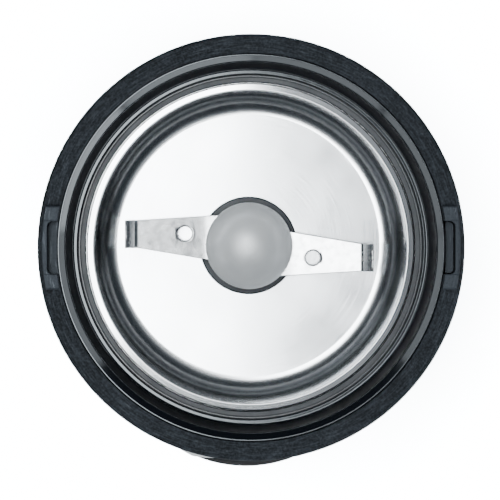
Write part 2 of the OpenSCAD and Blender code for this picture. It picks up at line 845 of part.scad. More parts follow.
module lower_motor_bracket() {
  bar_w = 14;
  color("#3b3d40") difference() {
    union() {
      translate([0, 0, lower_plate_z]) {
        translate([-bolt_x, -bar_w / 2, 0]) cube([2 * bolt_x, bar_w, plate_t]);
        for (s = [-1, 1]) translate([s * bolt_x, 0, 0]) cylinder(r = 4.5, h = plate_t);
        translate([-seat_w / 2, -holder_back - 0.5, 0]) cube([seat_w, 2 * holder_back + 1, plate_t]);
      }
      for (s = [-1, 1]) translate([s * bolt_x, 0, lower_plate_top - 1])
        cylinder(r = pillar_r, h = stack_z - lower_plate_top + 1);
      translate([0, 0, cup_floor_z]) cylinder(r = cup_r, h = lower_plate_top - cup_floor_z);
      for (s = [-1, 1])
        translate([-seat_w / 2, s * (holder_front + holder_back) / 2 - seat_l / 2, lower_plate_top - 1])
          cube([seat_w, seat_l, brush_z - holder_w / 2 - lower_plate_top + 1]);
    }
    translate([0, 0, lower_bush_z]) cylinder(r = bush_r + fit, h = body_h);
    for (s = [-1, 1]) translate([s * bolt_x, 0, lower_plate_z - cut])
      cylinder(r = bolt_r + 0.15, h = body_h);
  }
}

module upper_bearing() {
  color("#b08d4c") tube(shaft_r + run, bush_r, upper_bush_z, upper_bush_z + bush_l);
}

module lower_bearing() {
  color("#b08d4c") tube(shaft_r + run, bush_r, lower_bush_z, lower_bush_z + bush_l);
}

module motor_bolts() {
  color("#b9bcc0") for (s = [-1, 1]) translate([s * bolt_x, 0, lower_plate_z])
    screw(2.8, 2.2, bolt_r, plate_top + 2.2 - lower_plate_z);
}

module motor_nuts() {
  color("#b9bcc0") for (s = [-1, 1]) translate([s * bolt_x, 0, plate_top]) difference() {
    cylinder(r = 3.1, h = 2.2, $fn = 6);
    translate([0, 0, -cut]) cylinder(r = bolt_r + fit, h = 4);
  }
}

module motor_dampers() {
  flap = 2.4;
  color("#232323") four_around(damper_at) difference() {
    union() {
      translate([0, 0, plate_top]) cylinder(r = damper_r, h = damper_h);
      translate([0, 0, plate_z - 0.5]) cylinder(r = damper_r - 1.3, h = plate_t + 1);
      translate([0, 0, plate_z - flap]) cylinder(r = damper_r, h = flap);
    }
    translate([0, 0, plate_z - flap - cut])
      cylinder(r = bolt_r + 0.15, h = flap + plate_t + damper_h + 2 * cut);
  }
}

module damper_screws() {
  color("#b9bcc0") four_around(damper_at) translate([0, 0, plate_z - 2.4])
    screw(3, 2, bolt_r, plate_t + damper_h + 2.4 + deck_t - 0.8);
}

module brush_holders() {
  l = holder_back - holder_front;
  inner = holder_w - 2 * holder_wall;
  color("#c2a25a") for (a = [0, 180]) rotate([0, 0, a])
    translate([-holder_w / 2, holder_front, brush_z - holder_w / 2]) difference() {
      cube([holder_w, l, holder_w]);
      translate([holder_wall, -cut, holder_wall]) cube([inner, l - holder_wall + cut, inner]);
    }
}

module carbon_brushes() {
  color("#2f3032") for (a = [0, 180]) rotate([0, 0, a]) difference() {
    translate([-brush_w / 2, commutator_r - 1.5, brush_z - brush_w / 2])
      cube([brush_w, brush_back - commutator_r + 1.5, brush_w]);
    translate([0, 0, brush_z - brush_w]) cylinder(r = commutator_r + 0.28, h = 2 * brush_w);
  }
}

module brush_springs() {
  color("#b9bcc0") for (a = [0, 180]) rotate([0, 0, a]) translate([0, brush_back + 0.1, brush_z])
    rotate([-90, 0, 0]) coil_spring(2.1, 0.3, holder_back - holder_wall - brush_back - 0.2, 5);
}

module push_button() {
  flange_r = bezel_bore_r - slide;
  flange_end = flange_at + button_flange_t;
  color("#131416") behind_front(0) difference() {
    union() {
      intersection() {
        translate([0, 0, dome_r - button_dome]) sphere(r = dome_r);
        translate([0, 0, -button_dome - cut]) cylinder(r = button_r, h = button_dome + cut + 1);
      }
      cylinder(r = button_r, h = flange_end);
      translate([0, 0, flange_at]) cylinder(r = flange_r, h = button_flange_t);
      cylinder(r = stem_r, h = stem_end);
    }
    translate([0, 0, cavity_at]) difference() {
      cylinder(r = button_r - 2, h = flange_end);
      translate([0, 0, -cut]) cylinder(r = stem_r, h = flange_end + 2 * cut);
    }
  }
}

module bezel_profile() {
  face_w = 0.5;
  face_fall = 1.7;
  polygon([
    [lip_bore_r, 0],
    [lip_bore_r + face_w, 0],
    [bezel_r, face_fall],
    [bezel_r, bezel_back],
    [bezel_bore_r, bezel_back],
    [bezel_bore_r, lip_t],
    [lip_bore_r, lip_t]
  ]);
}

module button_bezel() {
  color("#c8cacc") difference() {
    behind_front(0) rotate_extrude() bezel_profile();
    difference() {
      taper_solid(-0.12);
      behind_front(-cut) cylinder(r = neck_r, h = 40);
    }
  }
}

module button_spring() {
  color("#b9bcc0") behind_front(cavity_at + 0.1)
    coil_spring(4.6, 0.35, bracket_at - cavity_at - 0.2, 5);
}

module power_switch() {
  w = switch_size[0];
  color("#202124") behind_front(switch_at) {
    translate([-w / 2, -switch_size[2] / 2, 0]) cube([w, switch_size[2], switch_size[1]]);
    translate([0, 0, -plunger_l]) cylinder(r = 1.3, h = 2);
    for (s = [-1, 1]) translate([s * (w / 2 + 1) - 1.2, -0.4, 4]) cube([2.4, 0.8, 3]);
  }
}

module switch_bracket() {
  y = front_y + bracket_at;
  wall_h = button_z + 7 - floor_top;
  color("#303236") difference() {
    union() {
      translate([-bracket_w / 2, y, floor_top]) cube([bracket_w, bracket_t, wall_h]);
      translate([-bracket_w / 2, y, floor_top]) cube([bracket_w, 11, 1.8]);
      translate([-bracket_w / 2, y, button_z - switch_size[2] / 2 - 1.6]) cube([bracket_w, 12.5, 1.6]);
      for (s = [-1, 1]) translate([s * (bracket_w / 2 - 0.8) - 0.8, y, floor_top])
        cube([1.6, 6, button_z - switch_size[2] / 2 - 1 - floor_top]);
    }
    behind_front(bracket_at - cut) cylinder(r = stem_r + 0.5, h = bracket_t + 2 * cut);
    for (s = [-1, 1]) translate([s * bracket_w / 3, y + 7, 0]) cylinder(r = 1.3, h = 20);
  }
}

module bracket_screws() {
  seat = floor_top + 1.8;
  color("#b9bcc0") for (s = [-1, 1]) translate([s * bracket_w / 3, front_y + bracket_at + 7, seat])
    mirror([0, 0, 1]) screw(2.4, 1.8, 1.2, 1.8 + base_floor_t - 0.9);
}

module lid_slider() {
  head_in = key_in;
  head_out = key_out - slider_gap;
  head_l = pocket_l - 2 * slider_gap;
  color("#2b2d30") {
    translate([0, 0, slider_foot_z]) linear_extrude(pocket_floor - slider_foot_z)
      key_plan(head_in, head_out, head_l, pocket_r - slider_gap);
    translate([slider_arm_x, -head_l / 2, slider_foot_z])
      cube([head_in + 1 - slider_arm_x, head_l, slider_foot_t]);
    translate([slider_arm_x, 0, slider_foot_z]) cube([slider_arm_w, slider_arm_y, slider_foot_t]);
  }
}

module lid_slider_spring() {
  color("#b9bcc0") translate([spring_x, spring_y, ledge_z + 0.1])
    coil_spring(1.5, 0.25, slider_foot_z - ledge_z - 0.2, 6);
}

module lid_switch() {
  color("#202124") {
    translate([lid_switch_x, -lid_switch_size[1] / 2, ledge_z]) cube(lid_switch_size);
    translate([lid_switch_x + 3, -3, ledge_z + 1])
      cylinder(r = 1, h = slider_foot_z - slider_travel - skin - ledge_z - 1);
  }
}

base_cover();
foot_ring();
base_screws();
cord_grommet();
cord_clamp();
clamp_screws();
noise_capacitor();
housing();
body_sleeve();
rim_collar();
lid_seat_ring();
grinding_bowl();
bowl_seal();
shaft_seal();
blade();
blade_hub();
hub_cap();
motor_shaft();
armature_core();
armature_windings();
commutator();
cooling_fan();
thrust_washers();
stator_core();
field_coils();
upper_motor_bracket();
lower_motor_bracket();
upper_bearing();
lower_bearing();
motor_bolts();
motor_nuts();
motor_dampers();
damper_screws();
brush_holders();
carbon_brushes();
brush_springs();
push_button();
button_bezel();
button_spring();
power_switch();
switch_bracket();
bracket_screws();
lid_slider();
lid_slider_spring();
lid_switch();
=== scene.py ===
"""Looks of an electric spice grinder's base unit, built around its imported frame.

Sizes in the classes are millimetres; every point is turned to metres when a mesh is written.
The axis of the bowl and motor is Z, the front button points to -Y, and the lid slider is at +X.
TO_REAR turns a surface made about its own Z so that its Z points to the rear.
"""

import json
import logging
import math
from dataclasses import dataclass
from enum import Enum

import bmesh
import bpy
import numpy as np
from mathutils import Matrix, Vector


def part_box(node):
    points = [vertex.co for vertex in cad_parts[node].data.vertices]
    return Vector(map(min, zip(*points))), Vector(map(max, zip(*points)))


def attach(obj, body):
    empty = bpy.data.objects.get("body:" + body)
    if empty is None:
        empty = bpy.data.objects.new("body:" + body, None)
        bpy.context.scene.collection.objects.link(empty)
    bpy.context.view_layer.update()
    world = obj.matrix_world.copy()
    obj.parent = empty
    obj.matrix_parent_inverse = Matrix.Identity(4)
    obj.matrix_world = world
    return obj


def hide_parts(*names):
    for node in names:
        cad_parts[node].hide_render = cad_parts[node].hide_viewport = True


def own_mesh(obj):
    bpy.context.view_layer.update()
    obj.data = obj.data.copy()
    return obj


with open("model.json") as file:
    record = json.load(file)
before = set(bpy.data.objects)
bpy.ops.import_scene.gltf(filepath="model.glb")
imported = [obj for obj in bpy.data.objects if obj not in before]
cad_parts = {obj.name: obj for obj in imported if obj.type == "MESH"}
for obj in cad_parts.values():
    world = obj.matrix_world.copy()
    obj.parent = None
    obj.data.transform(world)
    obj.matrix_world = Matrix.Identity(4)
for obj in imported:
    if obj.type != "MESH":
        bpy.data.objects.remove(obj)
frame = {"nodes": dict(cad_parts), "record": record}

MM = 0.001
TURN = 2.0 * math.pi
Array = np.ndarray
Colour = tuple[float, float, float]
Socket = bpy.types.NodeSocket
Value = Socket | float
TO_REAR = np.array([[1, 0, 0], [0, 0, 1], [0, -1, 0]])
log = logging.getLogger("grinder")


# ---------------------------------------------------------------- surfaces


@dataclass
class Surface:
    """A closed surface: points in millimetres, and faces as blocks of vertex numbers."""

    points: Array
    faces: list[Array]

    def joined(self, other: "Surface") -> "Surface":
        """Both surfaces as one, with the other's faces renumbered."""
        shifted = [block + len(self.points) for block in other.faces]
        return Surface(np.vstack([self.points, other.points]), self.faces + shifted)

    def volume(self) -> float:
        """Add up the tetrahedra from the origin to each face's triangles.

        Returns:
            The volume, which is negative if the faces point inwards.
        """
        total = 0.0
        for block in self.faces:
            corner = self.points[block]
            for k in range(1, block.shape[1] - 1):
                cross = np.cross(corner[:, k], corner[:, k + 1])
                total += float(np.einsum("ij,ij->", corner[:, 0], cross)) / 6.0
        return total

    def placed(self, origin: tuple[float, float, float], basis: Array) -> "Surface":
        """The surface with its X, Y and Z axes turned to the basis columns and moved to origin."""
        return Surface(self.points @ np.asarray(basis).T + np.asarray(origin), self.faces)

    def piece(self, name: str, weld: float = 0.0) -> bpy.types.Object:
        """Write the surface into a smooth mesh object whose faces point outwards.

        Args:
            name: the piece's name.
            weld: distance in millimetres under which points are merged, or 0 for none.

        Returns:
            The new object, at the origin.
        """
        inside_out = self.volume() < 0
        faces = [face for block in self.faces for face in (block[:, ::-1] if inside_out else block).tolist()]
        mesh = bpy.data.meshes.new(name)
        mesh.from_pydata((self.points * MM).tolist(), [], faces)
        if weld > 0:
            merge_close_points(mesh, weld * MM)
        mesh.polygons.foreach_set("use_smooth", [True] * len(mesh.polygons))
        mesh.update()
        obj = bpy.data.objects.new(name, mesh)
        bpy.context.scene.collection.objects.link(obj)
        return obj


def merge_close_points(mesh: bpy.types.Mesh, distance: float) -> None:
    """Merge points that lie close together, and turn the mesh's faces outwards.

    Args:
        mesh: the mesh to change.
        distance: how near two points must be to be merged, in metres.
    """
    work = bmesh.new()
    work.from_mesh(mesh)
    bmesh.ops.remove_doubles(work, verts=work.verts, dist=distance)
    bmesh.ops.recalc_face_normals(work, faces=work.faces)
    work.to_mesh(mesh)
    work.free()


def grid_faces(rows: int, columns: int, wrap_rows: bool, wrap_columns: bool) -> Array:
    """Four-sided faces of a grid of points numbered row by row.

    Args:
        rows: how many rows of points there are.
        columns: how many points each row has.
        wrap_rows: whether the last row joins the first.
        wrap_columns: whether each row's last point joins its first.

    Returns:
        An array of four vertex numbers per face.
    """
    row = np.arange(rows if wrap_rows else rows - 1)[:, None]
    column = np.arange(columns if wrap_columns else columns - 1)[None, :]
    below, beside = (row + 1) % rows, (column + 1) % columns
    corners = (row * columns + column, row * columns + beside, below * columns + beside, below * columns + column)
    return np.stack([np.broadcast_to(c, (len(row), column.size)).ravel() for c in corners], axis=1)


def fan_faces(hub: int, ring: Array) -> Array:
    """Triangles from the vertex numbered hub to each neighbouring pair of a closed ring."""
    return np.stack([np.full(len(ring), hub), ring, np.roll(ring, -1)], axis=1)


def capped(points: Array, start: Array, end: Array) -> Surface:
    """A tube of point rows closed by a fan at each end.

    Args:
        points: (rows, columns, 3), each row a closed ring.
        start: the point that closes the first row.
        end: the point that closes the last row.

    Returns:
        The closed surface.
    """
    rows, columns = points.shape[:2]
    every = np.vstack([points.reshape(-1, 3), start, end])
    last = rows * columns
    first_ring = np.arange(columns)[::-1]
    last_ring = np.arange(columns) + last - columns
    return Surface(every, [
        grid_faces(rows, columns, False, True),
        fan_faces(last, first_ring),
        fan_faces(last + 1, last_ring),
    ])


def unit(vectors: Array) -> Array:
    """Each vector divided by its length."""
    return vectors / np.maximum(np.linalg.norm(vectors, axis=-1, keepdims=True), 1e-12)


def rounded(corners: list[tuple[float, float, float]], closed: bool = True, steps: int = 5,
            guard: float = 0.08) -> Array:
    """A path through corners, each cut by an arc of its own radius.

    A corner that turns by angle a with radius r starts its arc r tan(a / 2) before the corner. The arc's points are
    the start's offset from the arc's centre, turned in equal steps. A guard point before and after each arc keeps
    the flats beside it flat when they are shaded smooth.

    Args:
        corners: (x, y, radius) of each corner. The end points of an open path keep their place.
        closed: whether the last corner joins the first.
        steps: how many straight steps each arc has.
        guard: distance from an arc to its guard points.

    Returns:
        The path's points, (count, 2).
    """
    table = np.asarray(corners, float)
    at, radius = table[:, :2], np.maximum(table[:, 2], 0.02)
    before, after = np.roll(at, 1, axis=0), np.roll(at, -1, axis=0)
    entry, leave = unit(at - before), unit(after - at)
    turn = np.arctan2(entry[:, 0] * leave[:, 1] - entry[:, 1] * leave[:, 0], (entry * leave).sum(1))
    room = np.minimum(np.linalg.norm(at - before, axis=1), np.linalg.norm(after - at, axis=1)) * 0.46
    cut = np.minimum(radius * np.tan(np.abs(turn) / 2), room)
    true_radius = cut / np.maximum(np.tan(np.abs(turn) / 2), 1e-9)
    start = at - entry * cut[:, None]
    normal = np.stack([-entry[:, 1], entry[:, 0]], axis=1) * np.sign(turn)[:, None]
    centre = start + normal * true_radius[:, None]
    angle = turn[:, None] * np.linspace(0, 1, steps + 1)
    offset = start - centre
    arc = centre[:, None] + np.stack([
        offset[:, :1] * np.cos(angle) - offset[:, 1:] * np.sin(angle),
        offset[:, :1] * np.sin(angle) + offset[:, 1:] * np.cos(angle),
    ], axis=2)
    reach = np.minimum(guard, (room - cut) * 0.5 + 0.01)[:, None]
    ahead = (start - entry * reach)[:, None]
    behind = (at + leave * (cut[:, None] + reach))[:, None]
    path = np.concatenate([ahead, arc, behind], axis=1)
    if closed:
        return path.reshape(-1, 2)
    return np.vstack([at[:1], path[1:-1].reshape(-1, 2), at[-1:]])


def angles(columns: int) -> Array:
    """Equal angles round a full turn, without the last one."""
    return np.arange(columns) * TURN / columns


def swept(path: Array, columns: int) -> Array:
    """A path's points (r, z) at every angle a: x = r cos a, y = r sin a, z = z, as (points, angles, 3)."""
    a, r, z = angles(columns), path[:, :1], path[:, 1:]
    return np.stack([r * np.cos(a), r * np.sin(a), z + 0 * a], axis=2)


def turned(path: Array, columns: int = 256) -> Surface:
    """A ring: a closed path of points (r, z) turned about Z, with a set number of angles."""
    return Surface(swept(path, columns).reshape(-1, 3), [grid_faces(len(path), columns, True, True)])


def turned_solid(path: Array, columns: int = 192) -> Surface:
    """An open path that starts and ends on the axis, turned about Z and closed by a fan at each pole."""
    start, end = np.array([[0, 0, path[0, 1]]]), np.array([[0, 0, path[-1, 1]]])
    return capped(swept(path[1:-1], columns), start, end)


def dome(radius: float, rise: float, edge: float, count: int) -> tuple[Array, Array]:
    """Half the section of a shallow ball cap.

    The ball's radius is (radius squared + rise squared) / (2 rise). A point at angle a from the cap's top stands
    ball sin a from the axis and ball (1 - cos a) below the top.

    Args:
        radius: the cap's radius, where it has fallen by rise.
        rise: the cap's height.
        edge: how far inside the radius the section ends.
        count: how many points it has.

    Returns:
        Each point's distance from the axis and its drop below the top.
    """
    ball = (radius ** 2 + rise ** 2) / (2 * rise)
    a = np.linspace(0, math.asin((radius - edge) / ball), count)
    return ball * np.sin(a), ball * (1 - np.cos(a))


def coil(radius: float, wire: float, length: float, turns: float, sides: int = 12, per_turn: int = 28) -> Surface:
    """A coil of round wire along +Z with closed ends.

    The wire's middle line is a helix whose pitch falls to one wire at both ends, as a ground spring's does. Each
    ring of the wire is a circle in the plane of the helix's radius and Z.

    Args:
        radius: from the axis to the wire's middle.
        wire: the wire's own radius.
        length: from end to end.
        turns: how often the wire goes round.
        sides: how many sides the wire has.
        per_turn: how many rings each turn has.

    Returns:
        The coil, from z = 0 up.
    """
    closing = 0.085
    t = np.linspace(0, 1, int(turns * per_turn) + 1)
    rise = t - closing * np.sin(TURN * t)
    a, b = TURN * turns * t[:, None], angles(sides)[None, :]
    reach = radius + wire * np.cos(b)
    height = wire + rise[:, None] * (length - 2 * wire) + wire * np.sin(b)
    points = np.stack([reach * np.cos(a), reach * np.sin(a), height + 0 * a], axis=2)
    return capped(points, points[0].mean(0)[None], points[-1].mean(0)[None])


# ---------------------------------------------------------------- finishes


class Pattern(Enum):
    """What a finish's fine relief follows."""

    GRAIN = "even moulded or cast grain"
    ROUND = "fine lines round the axis"
    ALONG_X = "fine lines along X"
    STACKED = "thin sheets stacked along Z"
    WOUND = "turns of wire side by side"
    SPECKLED = "pressed powder"


class Graph:
    """A node tree, with one short method for each kind of node that the finishes and the stage use."""

    def __init__(self, owner: bpy.types.Material | bpy.types.World) -> None:
        """Start with the nodes that a new material or world has.

        Args:
            owner: the material or world.
        """
        owner.use_nodes = True
        self.tree = owner.node_tree
        self.shader = self.tree.nodes.get("Principled BSDF")

    def node(self, kind: str, **settings: str) -> bpy.types.Node:
        """Add a node.

        Args:
            kind: the node's type.
            settings: its own options, by name.

        Returns:
            The node.
        """
        made = self.tree.nodes.new(kind)
        for key, value in settings.items():
            setattr(made, key, value)
        return made

    def feed(self, socket: Socket, value: Value) -> None:
        """Link an output to a socket, or set the socket to a plain value.

        Args:
            socket: the input to feed.
            value: an output socket, or a number.
        """
        if isinstance(value, Socket):
            self.tree.links.new(value, socket)
        else:
            socket.default_value = value

    def math(self, operation: str, a: Value, b: Value = 0.0) -> Socket:
        """The result of a Math node.

        Args:
            operation: what the node does.
            a: the first value.
            b: the second value, where the operation has one.

        Returns:
            The result.
        """
        made = self.node("ShaderNodeMath", operation=operation)
        self.feed(made.inputs[0], a)
        self.feed(made.inputs[1], b)
        return made.outputs[0]

    def place(self) -> Socket:
        """The piece's own coordinates.

        Returns:
            The place in millimetres.
        """
        scale = self.node("ShaderNodeVectorMath", operation="SCALE")
        self.feed(scale.inputs[0], self.node("ShaderNodeTexCoord").outputs["Object"])
        scale.inputs["Scale"].default_value = 1.0 / MM
        return scale.outputs[0]

    def parts(self, vector: Socket) -> tuple[Socket, ...]:
        """Take a vector apart.

        Args:
            vector: the vector.

        Returns:
            Its X, Y and Z.
        """
        made = self.node("ShaderNodeSeparateXYZ")
        self.feed(made.inputs[0], vector)
        return made.outputs[0], made.outputs[1], made.outputs[2]

    def vector(self, x: Value, y: Value, z: Value) -> Socket:
        """Put a vector together.

        Args:
            x: its X.
            y: its Y.
            z: its Z.

        Returns:
            The vector.
        """
        made = self.node("ShaderNodeCombineXYZ")
        for socket, value in zip(made.inputs, (x, y, z)):
            self.feed(socket, value)
        return made.outputs[0]

    def noise(self, vector: Socket, scale: float, detail: float = 2.0) -> Socket:
        """Noise from 0 to 1.

        Args:
            vector: where the noise is read.
            scale: how many marks there are in each millimetre.
            detail: how many finer layers lie on them.

        Returns:
            The noise.
        """
        made = self.node("ShaderNodeTexNoise")
        self.feed(made.inputs["Vector"], vector)
        made.inputs["Scale"].default_value = scale
        made.inputs["Detail"].default_value = detail
        return made.outputs["Fac"]

    def spread(self, value: Socket, low: float, high: float, start: float = 0.3,
               end: float = 0.7) -> Socket:
        """Carry a value over from one span to another, and hold it at the span's ends.

        Args:
            value: what is carried over.
            low: the result at start.
            high: the result at end.
            start: where the value's own span starts.
            end: where it ends.

        Returns:
            The result.
        """
        made = self.node("ShaderNodeMapRange")
        self.feed(made.inputs["Value"], value)
        for key, number in zip(("From Min", "From Max", "To Min", "To Max"), (start, end, low, high)):
            made.inputs[key].default_value = number
        return made.outputs[0]

    def shade(self, share: Socket, dark: Colour, light: Colour) -> Socket:
        """Mix two colours.

        Args:
            share: from 0 to 1.
            dark: the colour at 0.
            light: the colour at 1.

        Returns:
            The mixed colour.
        """
        made = self.node("ShaderNodeMix", data_type="RGBA")
        self.feed(made.inputs[0], share)
        made.inputs[6].default_value = (*dark, 1.0)
        made.inputs[7].default_value = (*light, 1.0)
        return made.outputs[2]

    def seen(self, real: Colour, shown: Colour) -> Socket:
        """The real colour for reflections and bounced light, and the shown one where the stage itself is seen."""
        return self.shade(self.node("ShaderNodeLightPath").outputs["Is Camera Ray"], real, shown)

    def radius(self, place: Socket) -> Socket:
        """The distance from the Z axis."""
        x, y, _ = self.parts(place)
        return self.math("SQRT", self.math("ADD", self.math("MULTIPLY", x, x), self.math("MULTIPLY", y, y)))

    def around(self, place: Socket, across: float, along: float) -> Socket:
        """Coordinates whose noise runs in rings round Z.

        Args:
            place: the piece's own coordinates.
            across: how fast the rings change with radius and height.
            along: how fast they change with X and Y.

        Returns:
            The coordinates.
        """
        x, y, z = self.parts(place)
        climb = self.math("MULTIPLY", z, 1.618)
        fast = self.math("MULTIPLY", self.math("ADD", self.radius(place), climb), across)
        return self.vector(fast, self.math("MULTIPLY", x, along), self.math("MULTIPLY", y, along))

    def relief(self, pattern: Pattern, place: Socket, pitch: float) -> Socket:
        """The height of a pattern.

        Args:
            pattern: which pattern it is.
            place: the piece's own coordinates.
            pitch: how far its marks are apart, in millimetres.

        Returns:
            The height, from 0 to 1.
        """
        x, y, z = self.parts(place)
        if pattern is Pattern.ROUND:
            return self.noise(self.around(place, 1.0 / pitch, 0.12), 1.0, 3.0)
        if pattern is Pattern.ALONG_X:
            return self.noise(self.vector(self.math("MULTIPLY", x, 0.06), y, z), 1.0 / pitch, 3.0)
        if pattern is Pattern.STACKED:
            return self.math("ABSOLUTE", self.math("SINE", self.math("MULTIPLY", z, math.pi / pitch)))
        if pattern is Pattern.WOUND:
            lane = self.math("ADD", self.radius(place), self.math("MULTIPLY", z, 0.35))
            return self.math("ABSOLUTE", self.math("SINE", self.math("MULTIPLY", lane, math.pi / pitch)))
        if pattern is Pattern.SPECKLED:
            made = self.node("ShaderNodeTexVoronoi")
            self.feed(made.inputs["Vector"], place)
            self.feed(made.inputs["Scale"], 1.0 / pitch)
            return made.outputs["Distance"]
        return self.noise(place, 1.0 / pitch)

    def bump(self, height: Socket, depth: float) -> None:
        """Raise the surface.

        Args:
            height: from 0 to 1.
            depth: how high a height of 1 stands, in millimetres.
        """
        made = self.node("ShaderNodeBump")
        made.inputs["Strength"].default_value = 1.0
        made.inputs["Distance"].default_value = depth * MM
        self.feed(made.inputs["Height"], height)
        self.feed(self.shader.inputs["Normal"], made.outputs[0])


@dataclass(frozen=True)
class Finish:
    """One material of the grinder.

    Fields give the colour, the roughness and how far it wanders, the relief's pattern with its pitch and depth in
    millimetres, and how far the colour wanders over patches of patch millimetres.
    """

    slot: str
    colour: Colour
    roughness: float
    metallic: float = 0.0
    pattern: Pattern = Pattern.GRAIN
    pitch: float = 0.4
    depth: float = 0.01
    mottle: float = 0.1
    patch: float = 9.0
    gloss_spread: float = 0.05
    anisotropy: float = 0.0
    coat: float = 0.0
    coat_roughness: float = 0.1
    specular: float = 0.5
    tint: Colour = (1.0, 1.0, 1.0)

    def material(self) -> bpy.types.Material:
        """Build the finish's material.

        Returns:
            The material, named after its slot.
        """
        made = bpy.data.materials.new(self.slot)
        g = Graph(made)
        place = g.place()
        height = g.relief(self.pattern, place, self.pitch)
        patches = g.spread(g.noise(place, 1.0 / self.patch, 3.0), 0.0, 1.0)
        self._paint(g, place, patches, height)
        self._gloss(g, place)
        if self.depth > 0:
            g.bump(height, self.depth)
        shader = g.shader.inputs
        shader["Metallic"].default_value = self.metallic
        shader["Anisotropic"].default_value = self.anisotropy
        shader["Coat Weight"].default_value = self.coat
        shader["Coat Roughness"].default_value = self.coat_roughness
        shader["Specular IOR Level"].default_value = self.specular
        shader["Specular Tint"].default_value = (*self.tint, 1.0)
        if self.anisotropy > 0 and self.pattern is Pattern.ROUND:
            shader["Anisotropic Rotation"].default_value = 0.25
            self._comb(g, place)
        return made

    def _toned(self, factor: float) -> Colour:
        """The finish's colour times a factor, at most white."""
        return tuple(min(1.0, c * factor) for c in self.colour)

    def _uneven(self, g: Graph, patches: Socket, height: Socket) -> Socket:
        """Half of the patches' share, and half of the share from the relief's hollows to its crests."""
        return g.math("ADD", g.math("MULTIPLY", patches, 0.5), g.spread(height, 0.0, 0.5, 0.35, 0.65))

    def _wandering(self, g: Graph, place: Socket) -> Socket:
        """The roughness, which wanders by up to the gloss spread over marks half a patch wide."""
        wander = g.spread(g.noise(place, 1.8 / self.patch, 4.0), -self.gloss_spread, self.gloss_spread)
        return g.math("ADD", wander, self.roughness)

    def _paint(self, g: Graph, place: Socket, patches: Socket, height: Socket) -> None:
        """Let the colour wander over patches, and from the relief's hollows to its crests.

        Args:
            g: the material's nodes.
            place: the piece's own coordinates; not used here.
            patches: noise from 0 to 1 over the finish's patches.
            height: the relief, from 0 to 1.
        """
        share = self._uneven(g, patches, height)
        tone = g.shade(share, self._toned(1 - self.mottle), self._toned(1 + self.mottle))
        g.feed(g.shader.inputs["Base Color"], tone)

    def _gloss(self, g: Graph, place: Socket) -> None:
        """Let the roughness wander."""
        g.feed(g.shader.inputs["Roughness"], self._wandering(g, place))

    def _comb(self, g: Graph, place: Socket) -> None:
        """Stretch the highlights across rings round Z: the tangent is (-y, x, 0), turned with the piece.

        Args:
            g: the material's nodes.
            place: the piece's own coordinates.
        """
        x, y, _ = g.parts(place)
        turn = g.node("ShaderNodeVectorTransform", vector_type="VECTOR", convert_from="OBJECT", convert_to="WORLD")
        g.feed(turn.inputs[0], g.vector(g.math("MULTIPLY", y, -1.0), x, 0.0))
        g.feed(g.shader.inputs["Tangent"], turn.outputs[0])


@dataclass(frozen=True)
class RimFinish(Finish):
    """Matte moulded black, smoother on the rim's raised pads and in the pockets between their ends.

    Fields give how fast the faint rings change across and along, how many flecks a millimetre has, how much paler
    both are, how much smoother the scuffs are, the pads' roughness, how far the colour of the pads and the pockets'
    floors is lifted (on the pads partly their own tone and partly painted sheen, on the pocket floors painted light
    where they lie in shade), the pads' half length and lowest height, and the pockets' half length, lowest and
    highest floor, and outer radius.
    """

    rings: tuple[float, float] = (3.0, 0.25)
    flecks: float = 2.2
    pale: float = 0.6
    scuffs: float = 0.4
    pad_roughness: float = 0.45
    tone_and_painted_light_lift: float = 0.6
    pad_half: float = 9.3
    pad_z: float = 132.15
    pocket_half: float = 5.95
    pocket_z: tuple[float, float] = (120.0, 128.6)
    pocket_r: float = 46.4

    def _pads_and_pocket_floors(self, g: Graph, place: Socket) -> Socket:
        """Where the rim is smooth, and where painted light lifts its colour.

        Args:
            g: the material's nodes.
            place: the piece's own coordinates.

        Returns:
            1 on the pads and the pockets' floors, and 0 elsewhere.
        """
        _, y, z = g.parts(place)
        far = g.math("ABSOLUTE", y)
        pad = g.math("MULTIPLY", g.math("GREATER_THAN", z, self.pad_z), g.math("LESS_THAN", far, self.pad_half))
        deep = g.math("MULTIPLY", g.math("GREATER_THAN", z, self.pocket_z[0]),
                      g.math("LESS_THAN", z, self.pocket_z[1]))
        inside = g.math("MULTIPLY", g.math("LESS_THAN", far, self.pocket_half),
                        g.math("LESS_THAN", g.radius(place), self.pocket_r))
        return g.math("ADD", pad, g.math("MULTIPLY", deep, inside))

    def _paint(self, g: Graph, place: Socket, patches: Socket, height: Socket) -> None:
        """Pale flecks and faint rings on black. The pads are paler, partly by their own tone and partly by painted
        sheen, and the pocket floors are lifted by painted light where they lie in shade.

        Args:
            g: the material's nodes.
            place: the piece's own coordinates.
            patches: noise from 0 to 1 over the finish's patches.
            height: the relief, from 0 to 1.
        """
        rings = g.spread(g.noise(g.around(place, *self.rings), 1.0, 5.0), 0.0, self.pale, 0.45, 0.7)
        flecks = g.spread(g.noise(place, self.flecks, 4.0), 0.0, self.pale, 0.42, 0.7)
        share = g.math("ADD", g.math("ADD", rings, flecks), g.math("MULTIPLY", patches, 0.2))
        # Painted light: lift the colour of the pads (partly their own tone, partly painted sheen) and of the pocket
        # floors (painted light in their shade).
        share = g.math("ADD", share, g.math("MULTIPLY", self._pads_and_pocket_floors(g, place), self.tone_and_painted_light_lift))
        tone = g.shade(share, self._toned(1 - self.mottle), self._toned(1 + 4 * self.mottle))
        g.feed(g.shader.inputs["Base Color"], tone)

    def _gloss(self, g: Graph, place: Socket) -> None:
        """Scuffed and matte, with a satin surface on the pads and the pockets' floors.

        Args:
            g: the material's nodes.
            place: the piece's own coordinates.
        """
        lines = g.noise(g.around(place, 4.0, 0.3), 1.0, 5.0)
        rough = g.math("SUBTRACT", self.roughness, g.spread(lines, 0.0, self.scuffs, 0.55, 0.75))
        lift = g.math("MULTIPLY", self._pads_and_pocket_floors(g, place), self.roughness - self.pad_roughness)
        g.feed(g.shader.inputs["Roughness"], g.math("SUBTRACT", rough, lift))


